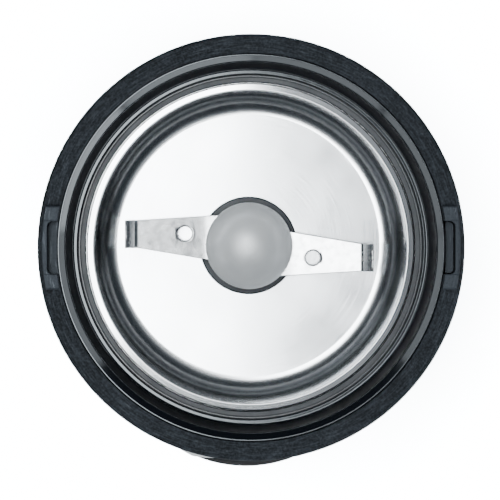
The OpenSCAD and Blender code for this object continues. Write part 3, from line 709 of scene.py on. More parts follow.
@dataclass(frozen=True)
class ZonedFinish(Finish):
    """A finish whose roughness and colour change with the distance from the axis.

    Each zone gives the radius where a change of roughness starts, the radius where it ends, and the change.
    The painted shade band darkens the colour between two radii, standing in for the shade and dark reflections in the
    bowl's corner and lower wall: it gives where it starts, where it's full, where it ends, and what's left of the
    colour there. The fade is how wide its outer edge is.
    """

    zones: tuple[tuple[float, float, float], ...] = ()
    painted_shade: tuple[float, float, float, float] | None = None
    fade: float = 0.15

    def _paint(self, g: Graph, place: Socket, patches: Socket, height: Socket) -> None:
        """Uneven patches, and a band of painted shade between two radii where the finish has one.

        Args:
            g: the material's nodes.
            place: the piece's own coordinates.
            patches: noise from 0 to 1 over the finish's patches.
            height: the relief, from 0 to 1.
        """
        if self.painted_shade is None:
            super()._paint(g, place, patches, height)
            return
        # Painted shade: between the radii the colour falls towards what is left of it, standing in for shade in the
        # bowl's corner.
        start, full, end, left = self.painted_shade
        radius, swing = g.radius(place), 2 * self.mottle
        inside, outside = g.spread(radius, 0.0, 1.0, start, full), g.spread(radius, 0.0, 1.0, end, end + self.fade)
        lit = g.math("SUBTRACT", 1.0, g.math("SUBTRACT", inside, outside))
        uneven = g.math("MULTIPLY", self._uneven(g, patches, height), swing)
        share = g.math("MULTIPLY", lit, g.math("ADD", 1.0 - swing, uneven))
        tone = g.shade(share, self._toned(left), self._toned(1 + self.mottle))
        g.feed(g.shader.inputs["Base Color"], tone)

    def _gloss(self, g: Graph, place: Socket) -> None:
        """Add up the zones' changes, and let the sum wander.

        Args:
            g: the material's nodes.
            place: the piece's own coordinates.
        """
        rough = self._wandering(g, place)
        radius = g.radius(place)
        for start, end, change in self.zones:
            rough = g.math("ADD", rough, g.spread(radius, 0.0, change, start, end))
        g.feed(g.shader.inputs["Roughness"], rough)


FINISHES: dict[str, Finish] = {f.slot: f for f in (
    RimFinish("matte_black", (0.0072, 0.0085, 0.0103), 0.64, pitch=0.3, depth=0.035, mottle=0.8, patch=14.0,
              specular=0.2, tint=(0.8, 0.9, 1.0)),
    ZonedFinish("gloss_black", (0.004, 0.005, 0.007), 0.11, pitch=0.3, depth=0.0012, mottle=0.1, patch=2.2,
                gloss_spread=0.03, specular=0.55, tint=(0.88, 0.95, 1.0), zones=((39.55, 39.75, 0.02),)),
    Finish("satin_black", (0.006, 0.007, 0.009), 0.6, pitch=0.5, depth=0.004, mottle=0.15, specular=0.04),
    Finish("dark_housing", (0.030, 0.031, 0.035), 0.5, pitch=0.5, depth=0.01),
    Finish("sleeve_steel", (0.56, 0.57, 0.585), 0.34, 1.0, Pattern.ROUND, 0.16, 0.0022, mottle=0.07, anisotropy=0.7),
    ZonedFinish("bowl_steel", (0.72, 0.74, 0.76), 0.13, 1.0, Pattern.ROUND, 0.24, 0.0055, mottle=0.07, patch=16.0,
                anisotropy=0.5, gloss_spread=0.02, zones=((30.4, 31.8, 0.08), (34.9, 35.15, -0.07)),
                # painted shade: the bowl's corner and lower wall are drawn darker, from 30.6 to 34.95 mm
                painted_shade=(30.6, 32.0, 34.95, 0.57)),
    Finish("blade_steel", (0.74, 0.75, 0.76), 0.24, 1.0, Pattern.ALONG_X, 0.12, 0.002, mottle=0.1, patch=3.0),
    Finish("satin_grey", (0.93, 0.955, 0.975), 0.42, 0.35, Pattern.ROUND, 0.5, 0.003, mottle=0.05, patch=5.0),
    Finish("silver_trim", (0.78, 0.79, 0.80), 0.16, 1.0, Pattern.GRAIN, 0.9, 0.0008, mottle=0.05),
    Finish("black_rubber", (0.018, 0.018, 0.019), 0.68, pitch=0.25, depth=0.012, mottle=0.2),
    ZonedFinish("grey_rubber", (0.040, 0.048, 0.057), 0.44, pitch=0.3, depth=0.012, mottle=0.25, specular=0.4,
                zones=((38.3, 38.34, -0.22), (38.7, 38.74, 0.3))),
    Finish("zinc_steel", (0.60, 0.61, 0.62), 0.32, 1.0, Pattern.GRAIN, 0.3, 0.003, mottle=0.12, patch=3.0),
    Finish("shaft_steel", (0.55, 0.56, 0.58), 0.2, 1.0, Pattern.ROUND, 0.1, 0.001, mottle=0.05, anisotropy=0.4),
    Finish("laminated_steel", (0.20, 0.205, 0.215), 0.5, 0.9, Pattern.STACKED, 0.5, 0.06, mottle=0.2, patch=4.0),
    Finish("bronze", (0.50, 0.35, 0.17), 0.48, 1.0, Pattern.SPECKLED, 0.22, 0.02, mottle=0.16, patch=2.0),
    Finish("brass", (0.66, 0.49, 0.23), 0.3, 1.0, Pattern.GRAIN, 0.25, 0.002, mottle=0.08, patch=3.0),
    Finish("enamelled_copper", (0.34, 0.12, 0.035), 0.25, 0.4, Pattern.WOUND, 0.5, 0.12, mottle=0.2, patch=3.0,
           coat=0.6),
    Finish("copper", (0.72, 0.36, 0.20), 0.3, 1.0, Pattern.ROUND, 0.12, 0.002, mottle=0.15, patch=2.0),
    Finish("die_cast", (0.50, 0.51, 0.52), 0.5, 1.0, Pattern.GRAIN, 0.5, 0.02, mottle=0.12, patch=5.0),
    Finish("phenolic", (0.045, 0.034, 0.028), 0.45, pitch=0.8, depth=0.006, mottle=0.3, patch=2.0),
    Finish("carbon", (0.028, 0.028, 0.032), 0.55, 0.0, Pattern.SPECKLED, 0.2, 0.012, mottle=0.2),
    Finish("fan_grey", (0.10, 0.105, 0.11), 0.45, pitch=0.5, depth=0.008),
    Finish("capacitor_case", (0.42, 0.27, 0.07), 0.28, pitch=1.2, depth=0.02, mottle=0.12, coat=0.5),
    Finish("switch_black", (0.014, 0.014, 0.015), 0.32, pitch=0.4, depth=0.004),
)}


class Paintbox:
    """The finishes' materials, each made once when first asked for."""

    def __init__(self) -> None:
        """Start with no material made."""
        self.made: dict[str, bpy.types.Material] = {}

    def material(self, slot: str) -> bpy.types.Material:
        """Find or make a material.

        Args:
            slot: the slot that it is for.

        Returns:
            The slot's one material.
        """
        if slot not in self.made:
            self.made[slot] = FINISHES[slot].material()
        return self.made[slot]

    def dress(self, obj: bpy.types.Object, slot: str) -> None:
        """Give an object one slot's material as its only one."""
        obj.data.materials.clear()
        obj.data.materials.append(self.material(slot))


PAINTS = Paintbox()


def settle(obj: bpy.types.Object, body: str, slot: str, node: str) -> None:
    """Dress a new piece, ride it on its body and let it stand for a CAD node.

    Args:
        obj: the piece.
        body: the CAD body that it rides on.
        slot: the material slot that it takes its finish from.
        node: the CAD node that it stands for.
    """
    PAINTS.dress(obj, slot)
    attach(obj, body)
    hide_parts(node)
    log.info("%s: %d faces, rides on %s", obj.name, len(obj.data.polygons), body)


def limits(node: str) -> tuple[list[float], list[float]]:
    """A CAD node's lowest and highest corner in millimetres."""
    low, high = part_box(node)
    return [float(v) / MM for v in low], [float(v) / MM for v in high]


# ---------------------------------------------------------------- the rim


@dataclass
class RimCollar:
    """The matte top ring with a raised, pocketed pad at each side.

    A section is carried round the axis. Beside the pads its columns stand at set distances y from the X axis, so
    that the pads' ends and the pockets' ends are straight, and further round they turn into even angles.
    """

    inner_r: float = 43.15
    outer_r: float = 47.5
    block_r: float = 46.05
    skirt_r: float = 47.0
    round_r: float = 0.9
    inner_round: float = 0.25
    pad_half: float = 9.3
    pad_rise: float = 0.4
    pad_in: float = 43.4
    pad_out: float = 46.6
    pocket_half: float = 5.9
    pocket_x: float = 45.3
    pocket_round: float = 1.2
    pocket_depth: float = 3.6
    seam: float = 0.1
    pad_slope: float = 0.12
    wall_edge: float = 0.16
    skirt_low: float = 1.4
    skirt_high: float = 2.9
    inner_rows: int = 14

    def __post_init__(self) -> None:
        """Take the ring's heights from the CAD node."""
        low, high = limits("rim_collar")
        self.bottom: float = low[2]
        self.top: float = high[2] - self.pad_rise

    def _stations(self) -> tuple[Array, Array, Array, Array]:
        """The columns of one quarter turn: those beside the pad, and the angles of the rest.

        Returns:
            Each near column's distance y, whether it has a pocket, and how far its top is sunk at a pocket's end.
            Then the angles of the columns past the pad.
        """
        half = np.concatenate([
            np.linspace(0, self.pocket_half - self.pocket_round, 12),
            self.pocket_half - self.pocket_round * (1 - np.sin(np.linspace(0.12, 1, 9) * math.pi / 2)),
        ])
        half[-1] -= 1e-3
        solid = np.concatenate([
            self.pocket_half + self.seam * np.array([0, 0.3, 1.0]),
            np.linspace(self.pocket_half + 0.5, self.pad_half - 0.5, 6),
            self.pad_half + self.seam * np.array([-1.0, -0.5, 0.0, 0.5, 1.0]),
        ])
        y = np.concatenate([half, solid])
        sunk = np.concatenate([np.zeros(len(half)), self.seam * np.array([1.0, 0.3, 0.0]), np.zeros(len(solid) - 3)])
        swing = np.linspace(math.asin((self.pad_half + 0.6) / self.pocket_x), TURN / 4, 44)
        return y, np.arange(len(y)) < len(half), sunk, swing

    def _half(self, side: int) -> Array:
        """Points of one half of the ring.

        A column's angle is arcsin(y / r) beside the pad, where its ends are straight, and arcsin(y / pocket_x)
        further round. Between them it passes from one to the other by the smooth step s s (3 - 2 s).

        Args:
            side: +1 for the half with the slider's slot, which is open below, or -1 for the closed pocket.

        Returns:
            The points, (columns, rows, 3).
        """
        y_near, pocket_near, sunk_near, swing = self._stations()
        blend = 0.35
        y_all = np.concatenate([y_near, self.pocket_x * np.sin(swing)])
        pocket = np.concatenate([pocket_near, np.full(len(swing), False)])
        sunk = np.concatenate([sunk_near, np.zeros(len(swing))])
        even = np.concatenate([np.zeros(len(y_near)), np.clip((swing - swing[0]) / blend, 0, 1)])
        even = even * even * (3 - 2 * even)
        order = np.concatenate([np.arange(len(y_all))[::-1], np.arange(1, len(y_all))])
        sign = np.concatenate([-np.ones(len(y_all)), np.ones(len(y_all) - 1)])
        y, pocket, sunk, even = (v[order] for v in (y_all, pocket, sunk, even))
        near = np.minimum(y, self.pad_half)
        corner = np.clip(near - (self.pocket_half - self.pocket_round), 0, self.pocket_round)
        wall_x = self.pocket_x - self.pocket_round + np.sqrt(self.pocket_round ** 2 - corner ** 2)
        wall_r = np.hypot(wall_x, np.minimum(near, self.pocket_half))
        r, z = self._section(wall_r, y, pocket, sunk, side)
        straight = np.arcsin(np.clip(y[:, None] / r, -1, 1))
        steady = np.arcsin(np.clip(y / self.pocket_x, -1, 1))[:, None]
        a = straight * (1 - even[:, None]) + steady * even[:, None]
        a = sign[:, None] * a + (0 if side > 0 else math.pi)
        return np.stack([r * np.cos(a), r * np.sin(a), z], axis=2)

    def _section(self, wall_r: Array, y: Array, pocket: Array, sunk: Array, side: int) -> tuple[Array, Array]:
        """The section at each column.

        The rows run from the foot of the pocket's wall inwards and up the inner face, over the top to the pocket's
        wall, and then over the pad, round the outer edge and back under the ring. Where there is a pocket the first
        stretch follows its floor and wall instead.

        Args:
            wall_r: the radius of the pocket's wall at each column.
            y: each column's distance from the X axis.
            pocket: whether the column has a pocket.
            sunk: how far its top is sunk.
            side: +1 for the slider's side or -1 for the other.

        Returns:
            Radius and height, each (columns, rows).
        """
        count = len(y)
        top = self.top
        floor = top - self.pocket_depth
        lift = self.pad_rise * np.clip((self.pad_half + self.seam - y) / (2 * self.seam), 0, 1)
        lift = lift - sunk
        share = np.linspace(0, 1, 12)
        arc = np.linspace(0, 1, 6) * TURN / 4
        lip_r = self.inner_r + self.inner_round * (1 - np.cos(arc))
        lip_z = top - self.inner_round * (1 - np.sin(arc))

        def raised(r: Array, z: Array | float) -> Array:
            """Add the pad's rise between its inner and outer edge.

            Args:
                r: the points' radii.
                z: their heights without the pad.

            Returns:
                Their heights with it.
            """
            inner = np.clip((r - self.pad_in) / self.pad_slope, 0, 1)
            outer = np.clip((self.pad_out - r) / self.pad_slope, 0, 1)
            return z + lift[:, None] * inner * outer

        def across(points: Array) -> Array:
            """The same row values at every column."""
            return np.broadcast_to(points, (count, len(points)))

        under_r = wall_r[:, None] + (self.inner_r - wall_r[:, None]) * np.linspace(0, 0.98, 6)
        under_z = across(np.full(6, self.bottom))
        face_z = across(np.linspace(self.bottom, floor, 8))
        face_r = across(np.full(8, self.inner_r))
        upper_z = across(np.linspace(floor, top - self.inner_round, 6)[1:-1])
        upper_r = across(np.full(4, self.inner_r))
        start = self.pad_in + 0.02
        top_r = start + (wall_r[:, None] - start) * np.concatenate([np.linspace(0, 0.12, 5), share[3:]])
        solid_r = np.hstack([under_r, face_r, upper_r, across(lip_r), top_r])
        solid_z = np.hstack([under_z, face_z, upper_z, raised(across(lip_r), across(lip_z)), raised(top_r, top)])
        cut_r, cut_z = self._cut(wall_r[:, None], solid_r, solid_z, side)
        chosen = pocket[:, None]
        first_r = np.where(chosen, cut_r, solid_r)
        first_z = np.where(chosen, cut_z, solid_z)
        edge = np.linspace(0, 1, 5)[1:] * TURN / 4
        edge_r = wall_r[:, None] + self.wall_edge * (1 - np.cos(edge))
        edge_drop = np.where(chosen, -self.wall_edge * (1 - np.sin(edge)), 0.0)
        edge_z = raised(edge_r, top) + edge_drop
        span = np.concatenate([np.linspace(0.05, 0.9, 8), np.linspace(0.93, 1.0, 6)])
        span_r = edge_r[:, -1:] + (self.pad_out - edge_r[:, -1:]) * span
        span_z = raised(span_r, top)
        outer = np.linspace(0, 1, 9)[1:] * TURN / 4
        out_r = self.pad_out + (self.outer_r - self.pad_out) * np.sin(outer)
        out_z = top - self.round_r * (1 - np.cos(outer))
        back = rounded([
            (self.outer_r, top - self.round_r, 0.0),
            (self.outer_r, self.bottom + self.skirt_low, 0.2),
            (self.skirt_r, self.bottom + self.skirt_low, 0.12),
            (self.skirt_r, self.bottom + self.skirt_high, 0.12),
            (self.block_r, self.bottom + self.skirt_high, 0.12),
            (self.block_r, self.bottom, 0.2),
            (self.pocket_x + 0.3, self.bottom, 0.0),
        ], closed=False, steps=3)[1:]
        r = np.hstack([first_r, edge_r, span_r, across(out_r), across(back[:, 0])])
        z = np.hstack([first_z, edge_z, span_z, across(out_z), across(back[:, 1])])
        return r, z

    def _cut(self, wall_r: Array, solid_r: Array, solid_z: Array, side: int) -> tuple[Array, Array]:
        """The section's first stretch where there is a pocket: along its floor, if it has one, and up its wall.

        Args:
            wall_r: the radius of the pocket's wall, (columns, 1).
            solid_r: the stretch's radii without a pocket, (columns, rows).
            solid_z: its heights.
            side: +1 for the pocket that is open below or -1 for the closed one.

        Returns:
            Radius and height, each (columns, rows).
        """
        count, rows = solid_r.shape
        floor = self.top - self.pocket_depth
        start = floor if side < 0 else self.bottom
        climb = self.top + self.pad_rise - self.wall_edge - start
        if side > 0:
            return tuple(np.broadcast_to(v, (count, rows)) for v in (wall_r, start + climb * np.linspace(0, 1, rows)))
        kept = self.inner_rows
        rest = rows - kept
        run, up = rest // 2, rest - rest // 2
        floor_r = self.inner_r + (wall_r - self.inner_r) * np.linspace(0, 1, run + 1)[1:]
        climb_z = start + climb * np.linspace(0, 1, up + 1)[1:]
        cut_r = np.hstack([solid_r[:, :kept], floor_r, np.broadcast_to(wall_r, (count, up))])
        cut_z = np.hstack([solid_z[:, :kept], np.full((count, run), floor), np.broadcast_to(climb_z, (count, up))])
        return cut_r, cut_z

    def build(self) -> None:
        """Join both halves into one ring."""
        points = np.concatenate([self._half(1), self._half(-1)])
        faces = grid_faces(*points.shape[:2], True, True)
        obj = Surface(points.reshape(-1, 3), [faces]).piece("rim_collar_ring", weld=0.0005)
        settle(obj, "base", "matte_black", "rim_collar")


@dataclass
class LidSeat:
    """The glossy ring inside the rim, whose ledge stops the lid's skirt."""

    ledge_in: float = 39.05
    seat_r: float = 40.2
    wall_r: float = 41.3
    outer_r: float = 43.05
    foot_h: float = 3.0
    flare_h: float = 1.1
    back_r: float = 40.55
    undercut: float = 0.4
    ledge_h: float = 5.0
    step_h: float = 0.8
    edge_w: float = 0.35
    foot_round: float = 0.7
    band_from: float = 0.3
    band_to: float = 0.35
    band_proud: float = 0.04
    band_sunk: float = 0.06

    def build(self) -> None:
        """Turn the ring's section: ledge, steep wall, and a polished flare under the rim."""
        low, high = limits("lid_seat_ring")
        top, bottom = high[2], low[2]
        ledge = bottom + self.ledge_h
        flare = top - self.flare_h
        path = rounded([
            (self.ledge_in + self.undercut, bottom + self.step_h, 0.1),
            (self.back_r, bottom + self.step_h, 0.1),
            (self.back_r, bottom, 0.15),
            (self.outer_r, bottom, 0.2),
            (self.outer_r, top, 0.12),
            (self.outer_r - self.edge_w, top, 0.15),
            (self.wall_r, flare, 0.9),
            (self.seat_r, ledge + self.foot_h, 1.2),
            (self.seat_r, ledge, self.foot_round),
            (self.ledge_in, ledge, 0.05),
        ], steps=6)
        settle(turned(path).piece("lid_seat_gloss_ring"), "base", "gloss_black", "lid_seat_ring")
        self._band(ledge, flare)

    def _band(self, ledge: float, flare: float) -> None:
        """Turn the thin matte band on the steep wall between the ledge and the flare.

        Args:
            ledge: the ledge's height.
            flare: where the flare starts.
        """
        low, bend, top = ledge + self.band_from, ledge + self.foot_h, flare - self.band_to
        top_r = self.seat_r + (self.wall_r - self.seat_r) * (top - bend) / (flare - bend)
        face, back = -self.band_proud, self.band_sunk
        path = rounded([
            (self.seat_r + back, low, 0.01),
            (self.seat_r + back, bend, 1.2),
            (top_r + back, top, 0.01),
            (top_r + face, top, 0.02),
            (self.seat_r + face, bend, 1.2),
            (self.seat_r + face, low, 0.02),
        ], steps=4)
        settle(turned(path).piece("lid_seat_wall_band"), "base", "satin_black", "lid_seat_ring")


# ---------------------------------------------------------------- the bowl


@dataclass
class Bowl:
    """The drawn steel bowl, the rubber ring round its lip and the seal on its floor."""

    inner_r: float = 35.2
    sheet: float = 0.8
    corner_r: float = 4.6
    lip_w: float = 1.7
    hole_r: float = 8.0
    flange_r: float = 40.35
    flange_drop: float = 4.8
    flange_t: float = 0.7
    seal_in: float = 37.1
    seal_out: float = 38.75
    lip_fall: float = 0.17
    bead_w: float = 0.4
    bead_h: float = 0.1
    groove_w: float = 0.14
    groove_d: float = 0.5
    foot_out: float = 39.3
    foot_h: float = 0.6
    floor_seal_r: float = 11.4
    shaft_r: float = 3.04

    def build(self) -> None:
        """Make the bowl and both rubber rings."""
        low, high = limits("grinding_bowl")
        self._bowl(low[2], high[2])
        self._lip_ring()
        self._shaft_seal(low[2] + self.sheet)

    def _bowl(self, bottom: float, top: float) -> None:
        """Turn the sheet's section: floor, large inner corner, wall, and a lip rolled out and pressed nearly flat.

        Args:
            bottom: the lowest height of the sheet.
            top: the lip's height.
        """
        r, t, lip = self.inner_r, self.sheet, self.lip_w
        flange = top - self.flange_drop
        path = rounded([
            (self.hole_r, bottom, 0.1),
            (r + t, bottom, self.corner_r + t),
            (r + t, flange, 0.1),
            (self.flange_r, flange, 0.1),
            (self.flange_r, flange + self.flange_t, 0.1),
            (r + t, flange + self.flange_t, 0.1),
            (r + t, top - lip, 0.1),
            (r + lip, top - lip, 0.4),
            (r + lip, top - self.lip_fall, 0.3),
            (r, top, 0.3),
            (r, bottom + t, self.corner_r),
            (self.hole_r, bottom + t, 0.1),
        ], steps=12)
        settle(turned(path, 320).piece("steel_bowl"), "base", "bowl_steel", "grinding_bowl")

    def _lip_ring(self) -> None:
        """Turn the rubber ring between the lip and the lid seat, with a bead along its outer edge."""
        low, high = limits("bowl_seal")
        top, bottom = high[2], low[2]
        bead_in = self.seal_out - self.bead_w
        groove_in, groove = bead_in - self.groove_w, top - self.groove_d
        path = rounded([
            (self.seal_in, bottom, 0.15),
            (self.foot_out, bottom, 0.1),
            (self.foot_out, bottom + self.foot_h, 0.2),
            (self.seal_out, bottom + self.foot_h, 0.1),
            (self.seal_out, top - 0.05, 0.08),
            (self.seal_out - 0.1, top, 0.08),
            (bead_in, top, 0.06),
            (bead_in, groove, 0.04),
            (groove_in, groove, 0.04),
            (groove_in, top - self.bead_h, 0.06),
            (self.seal_in, top - self.bead_h, 0.2),
        ])
        settle(turned(path).piece("bowl_lip_seal"), "base", "grey_rubber", "bowl_seal")

    def _shaft_seal(self, floor: float) -> None:
        """Turn the seal's wide washer with its neck through the floor's hole.

        Args:
            floor: the height of the bowl's floor.
        """
        low, high = limits("shaft_seal")
        bottom, top = low[2], high[2]
        neck, dish = self.hole_r - 0.1, top - 0.25
        path = rounded([
            (self.shaft_r, bottom, 0.1),
            (neck, bottom, 0.1),
            (neck, floor, 0.05),
            (self.floor_seal_r, floor, 0.05),
            (self.floor_seal_r, top, 0.5),
            (self.hole_r + 0.6, top, 0.4),
            (self.hole_r, dish, 0.3),
            (self.shaft_r + 1.2, dish, 0.3),
            (self.shaft_r, top, 0.2),
        ])
        settle(turned(path, 160).piece("shaft_floor_seal"), "base", "grey_rubber", "shaft_seal")


# ---------------------------------------------------------------- the blade


@dataclass
class Blade:
    """The two-armed blade with a hole in each arm and ground, bent-up tips, under a domed hub cap."""

    thick: float = 1.3
    disc_r: float = 9.0
    lead_root: float = 4.9
    lead_tip: float = 0.5
    trail_root: float = 7.5
    trail_tip: float = 5.9
    rise: float = 4.0
    rise_x: float = 10.2
    tip_bend: float = 70.0
    tip_round: float = 1.6
    tip_leg: float = 4.2
    tip_edge: float = 0.35
    hole_r: float = 1.65
    hole_at: tuple[float, float] = (14.8, -2.8)
    hole_ease: float = 0.36
    patch_half: float = 2.0
    edge_r: float = 0.14
    tooth: float = 0.07
    tooth_pitch: float = 0.55
    cap_r: float = 10.0
    cap_skirt: float = 2.2
    cap_bore: float = 3.05
    cap_edge: float = 0.35

    def __post_init__(self) -> None:
        """Take the blade's height and reach from the CAD node, and work out where its tips start to bend."""
        low, high = limits("blade")
        self.z: float = low[2]
        self.reach: float = high[0]
        a, b = math.radians(self.rise), math.radians(self.rise + self.tip_bend)
        over = max((self.tip_round + self.thick) * math.sin(b),
                   (self.tip_round + self.tip_edge) * math.sin(b) + self.tip_leg * math.cos(b))
        self.arm: float = (self.reach - self.rise_x - over) / math.cos(a)
        self.bend_x: float = self.rise_x + self.arm

    def build(self) -> None:
        """Make the blade and its cap."""
        self._blade()
        self._cap()

    def _spine(self) -> tuple[Array, Array, Array, Array]:
        """One arm's underside from the middle to the tip.

        A flat root, a straight arm that rises, an arc and a straight leg.

        Returns:
            Along the arm: its points (x, z), its slope, its thickness, and the share of it that is leg.
        """
        a, b = math.radians(self.rise), math.radians(self.rise + self.tip_bend)
        outer, arm, hole = self.tip_round + self.thick, self.arm, self.hole_at[0]
        beside, half = self.patch_half + 0.4, self.patch_half
        flat = np.concatenate([np.linspace(0, hole - beside, 14), hole + np.linspace(-half, half, 9),
                               np.linspace(hole + beside, self.bend_x - 0.1, 10)])
        before = flat < self.rise_x
        slope = np.where(before, 0.0, a)
        along = np.maximum(flat - self.rise_x, 0) / max(self.bend_x - self.rise_x, 1e-6) * arm
        x = np.where(before, flat, self.rise_x + along * math.cos(a))
        z = np.where(before, 0.0, along * math.sin(a))
        end = np.array([self.rise_x + arm * math.cos(a), arm * math.sin(a)])
        turn = a + (b - a) * np.linspace(0, 1, 13)
        centre = end + outer * np.array([-math.sin(a), math.cos(a)])
        arc = centre + outer * np.stack([np.sin(turn), -np.cos(turn)], axis=1)
        way = np.array([math.cos(b), math.sin(b)])
        inner_way = np.array([-math.sin(b), math.cos(b)])
        share = np.concatenate([np.linspace(0, 1, 12)[1:-1], [0.97, 1.0]])
        narrowing = self.thick - self.tip_edge
        leg = arc[-1] + way * self.tip_leg * share[:, None] + inner_way * narrowing * share[:, None]
        points = np.vstack([np.stack([x, z], axis=1), arc, leg])
        slopes = np.concatenate([slope, turn, np.full(len(share), b)])
        thick = np.concatenate([np.full(len(flat) + 13, self.thick), self.thick - narrowing * share])
        legs = np.concatenate([np.zeros(len(flat) + 13), share])
        return points, slopes, thick, legs

    def _edges(self, x: Array) -> tuple[Array, Array]:
        """The plate's edges, the left arm being the right one turned by half.

        Args:
            x: distances along the arms.

        Returns:
            The lower and the upper edge's y.
        """
        far = np.abs(x)
        share = np.minimum(far / self.bend_x, 1)
        lead = self.lead_root + (self.lead_tip - self.lead_root) * share
        trail = self.trail_root + (self.trail_tip - self.trail_root) * share
        disc = np.sqrt(np.maximum(self.disc_r ** 2 - far ** 2, 0))
        high = np.maximum(np.where(x >= 0, lead, trail), disc)
        low = -np.maximum(np.where(x >= 0, trail, lead), disc)
        return low, high

    def _blade(self) -> None:
        """Carry a round-edged strip along both arms, and set a bored patch into each.

        At each place on the spine the strip's ring runs up one side of the plate and back down the other: y goes
        between the plate's edges, and the other direction is the spine's normal.
        """
        points, slope, thick, legs = self._spine()
        x = np.concatenate([-points[:0:-1, 0], points[:, 0]])
        z = np.concatenate([points[:0:-1, 1], points[:, 1]])
        lean = np.concatenate([-slope[:0:-1], slope])
        t = np.concatenate([thick[:0:-1], thick])
        leg = np.concatenate([legs[:0:-1], legs])
        low, high = self._edges(x)
        normal = np.stack([-np.sin(lean), np.cos(lean)], axis=1)
        ease = np.minimum(self.edge_r, t * 0.42)
        ring_y, ring_t, hole_cols = self._ring(x, low, high, t, ease)
        teeth = self.tooth * np.sin(ring_y * TURN / self.tooth_pitch) * (leg[:, None] > 0.98)
        along = np.stack([np.cos(lean), np.sin(lean)], axis=1) * np.sign(np.where(x == 0, 1, x))[:, None]
        px = x[:, None] + normal[:, :1] * ring_t + along[:, :1] * teeth
        pz = self.z + z[:, None] + normal[:, 1:] * ring_t + along[:, 1:] * teeth
        rows = np.stack([px, ring_y + 0 * px, pz], axis=2)
        plate = capped(rows, rows[0].mean(0)[None], rows[-1].mean(0)[None])
        plate = self._bored(plate, rows, x, hole_cols)
        settle(plate.piece("two_armed_blade", weld=0.002), "rotor", "blade_steel", "blade")

    def _ring(self, x: Array, low: Array, high: Array, t: Array,
              ease: Array) -> tuple[Array, Array, tuple[slice, slice]]:
        """The strip's ring at each place.

        The long sides share fixed y values beside a hole, so that a square can be cut there.

        Args:
            x: the places along both arms.
            low: the lower edge's y.
            high: the upper edge's y.
            t: the plate's thickness.
            ease: the rounding of its edges.

        Returns:
            Each point's y and its height above the underside, and the columns beside a hole, below and above.
        """
        inner = 9
        hole_y = np.where(x >= 0, self.hole_at[1], -self.hole_at[1])
        middle = hole_y[:, None] + np.linspace(-self.patch_half, self.patch_half, inner)
        near = np.clip((np.abs(np.abs(x) - self.hole_at[0]) - self.patch_half - 0.1) / 3.0, 0, 1)[:, None]
        plain = low[:, None] + (high - low)[:, None] * np.linspace(0.25, 0.75, inner)
        middle = middle * (1 - near) + plain * near
        first, last = low + ease, high - ease
        rise = np.array([0.02, 0.12, 0.5])
        left = first[:, None] + (middle[:, :1] - first[:, None]) * rise
        right = last[:, None] + (middle[:, -1:] - last[:, None]) * rise[::-1]
        side = np.hstack([first[:, None], left, middle, right, last[:, None]])
        a = np.linspace(0, 1, 5)[1:-1] * TURN / 4
        round_y = ease[:, None] * np.sin(a)
        round_t = ease[:, None] * (1 - np.cos(a))
        up_y = np.hstack([last[:, None] + round_y, high[:, None], high[:, None], last[:, None] + round_y[:, ::-1]])
        up_t = np.hstack([round_t, ease[:, None], (t - ease)[:, None], t[:, None] - round_t[:, ::-1]])
        down_y = np.hstack([first[:, None] - round_y, low[:, None], low[:, None], first[:, None] - round_y[:, ::-1]])
        down_t = np.hstack([t[:, None] - round_t, (t - ease)[:, None], ease[:, None], round_t[:, ::-1]])
        y = np.hstack([side, up_y, side[:, ::-1], down_y])
        h = np.hstack([0 * side, up_t, t[:, None] + 0 * side, down_t])
        wide = side.shape[1]
        under = slice(4, 4 + inner)
        over_from = wide + up_y.shape[1] + (wide - 4 - inner)
        return y, h, (under, slice(over_from, over_from + inner))

    def _bored(self, plate: Surface, rows: Array, x: Array, hole_cols: tuple[slice, slice]) -> Surface:
        """Cut a square out of both sides of each arm and fill it with a patch that has the hole.

        Each patch runs from the square's border on the top to the hole's edge, down the hole's wall and back out to
        the border underneath.

        Args:
            plate: the plain plate.
            rows: its points, (places, ring, 3).
            x: the places along both arms.
            hole_cols: the columns beside a hole, below and above.

        Returns:
            The plate with its two patches.
        """
        around = rows.shape[1]
        quad = plate.faces[0]
        row, col = quad[:, 0] // around, quad[:, 0] % around
        gone = np.zeros(len(quad), bool)
        patches = []
        under, over = hole_cols
        for sign in (1, -1):
            at = np.where(np.abs(x - sign * self.hole_at[0]) < self.patch_half + 0.05)[0]
            first, last = at[0], at[-1]
            inside = (row >= first) & (row < last)
            for cols in hole_cols:
                gone |= inside & (col >= cols.start) & (col < cols.stop - 1)
            borders = []
            for cols, flip in ((over, True), (under, False)):
                block = rows[first:last + 1, cols]
                if flip:
                    block = block[:, ::-1]
                borders.append(np.concatenate([block[:-1, 0], block[-1, :-1], block[:0:-1, -1], block[0, :0:-1]]))
            patches.append(self._hole(borders[0], borders[1], sign))
        plate = Surface(plate.points, [quad[~gone], *plate.faces[1:]])
        for patch in patches:
            plate = plate.joined(patch)
        return plate

    def _hole(self, above: Array, below: Array, sign: int) -> Surface:
        """A patch from a square border round a bore and out to the border below it.

        A point's place between border and bore is a straight mix of the border's point and the circle's point in
        the same direction, and its height is a straight mix as well. The bore's two edges are rounded.

        Args:
            above: the border's points on the top.
            below: the border's points underneath.
            sign: +1 for the right arm or -1 for the left.

        Returns:
            The patch.
        """
        centre = np.array([sign * self.hole_at[0], sign * self.hole_at[1]])
        out = unit(above[:, :2] - centre)
        ease, mouth = self.hole_ease, self.hole_r + self.hole_ease
        slope = math.tan(math.radians(self.rise)) * sign
        tilt = slope * (out[:, :1] * self.hole_r - (above[:, :1] - centre[0]))

        def ring(share: float, r: float, top: bool, sink: float) -> Array:
            """One ring of the patch.

            Args:
                share: how far the ring lies from the border to the bore, from 0 to 1.
                r: the radius that it has at the bore.
                top: whether it lies on the top or underneath.
                sink: how far it lies below the plate's slope.

            Returns:
                The ring's points.
            """
            border = above if top else below
            flat = border[:, :2] * (1 - share) + (centre + out * r) * share
            height = border[:, 2:] + tilt * share - sink
            return np.hstack([flat, height])

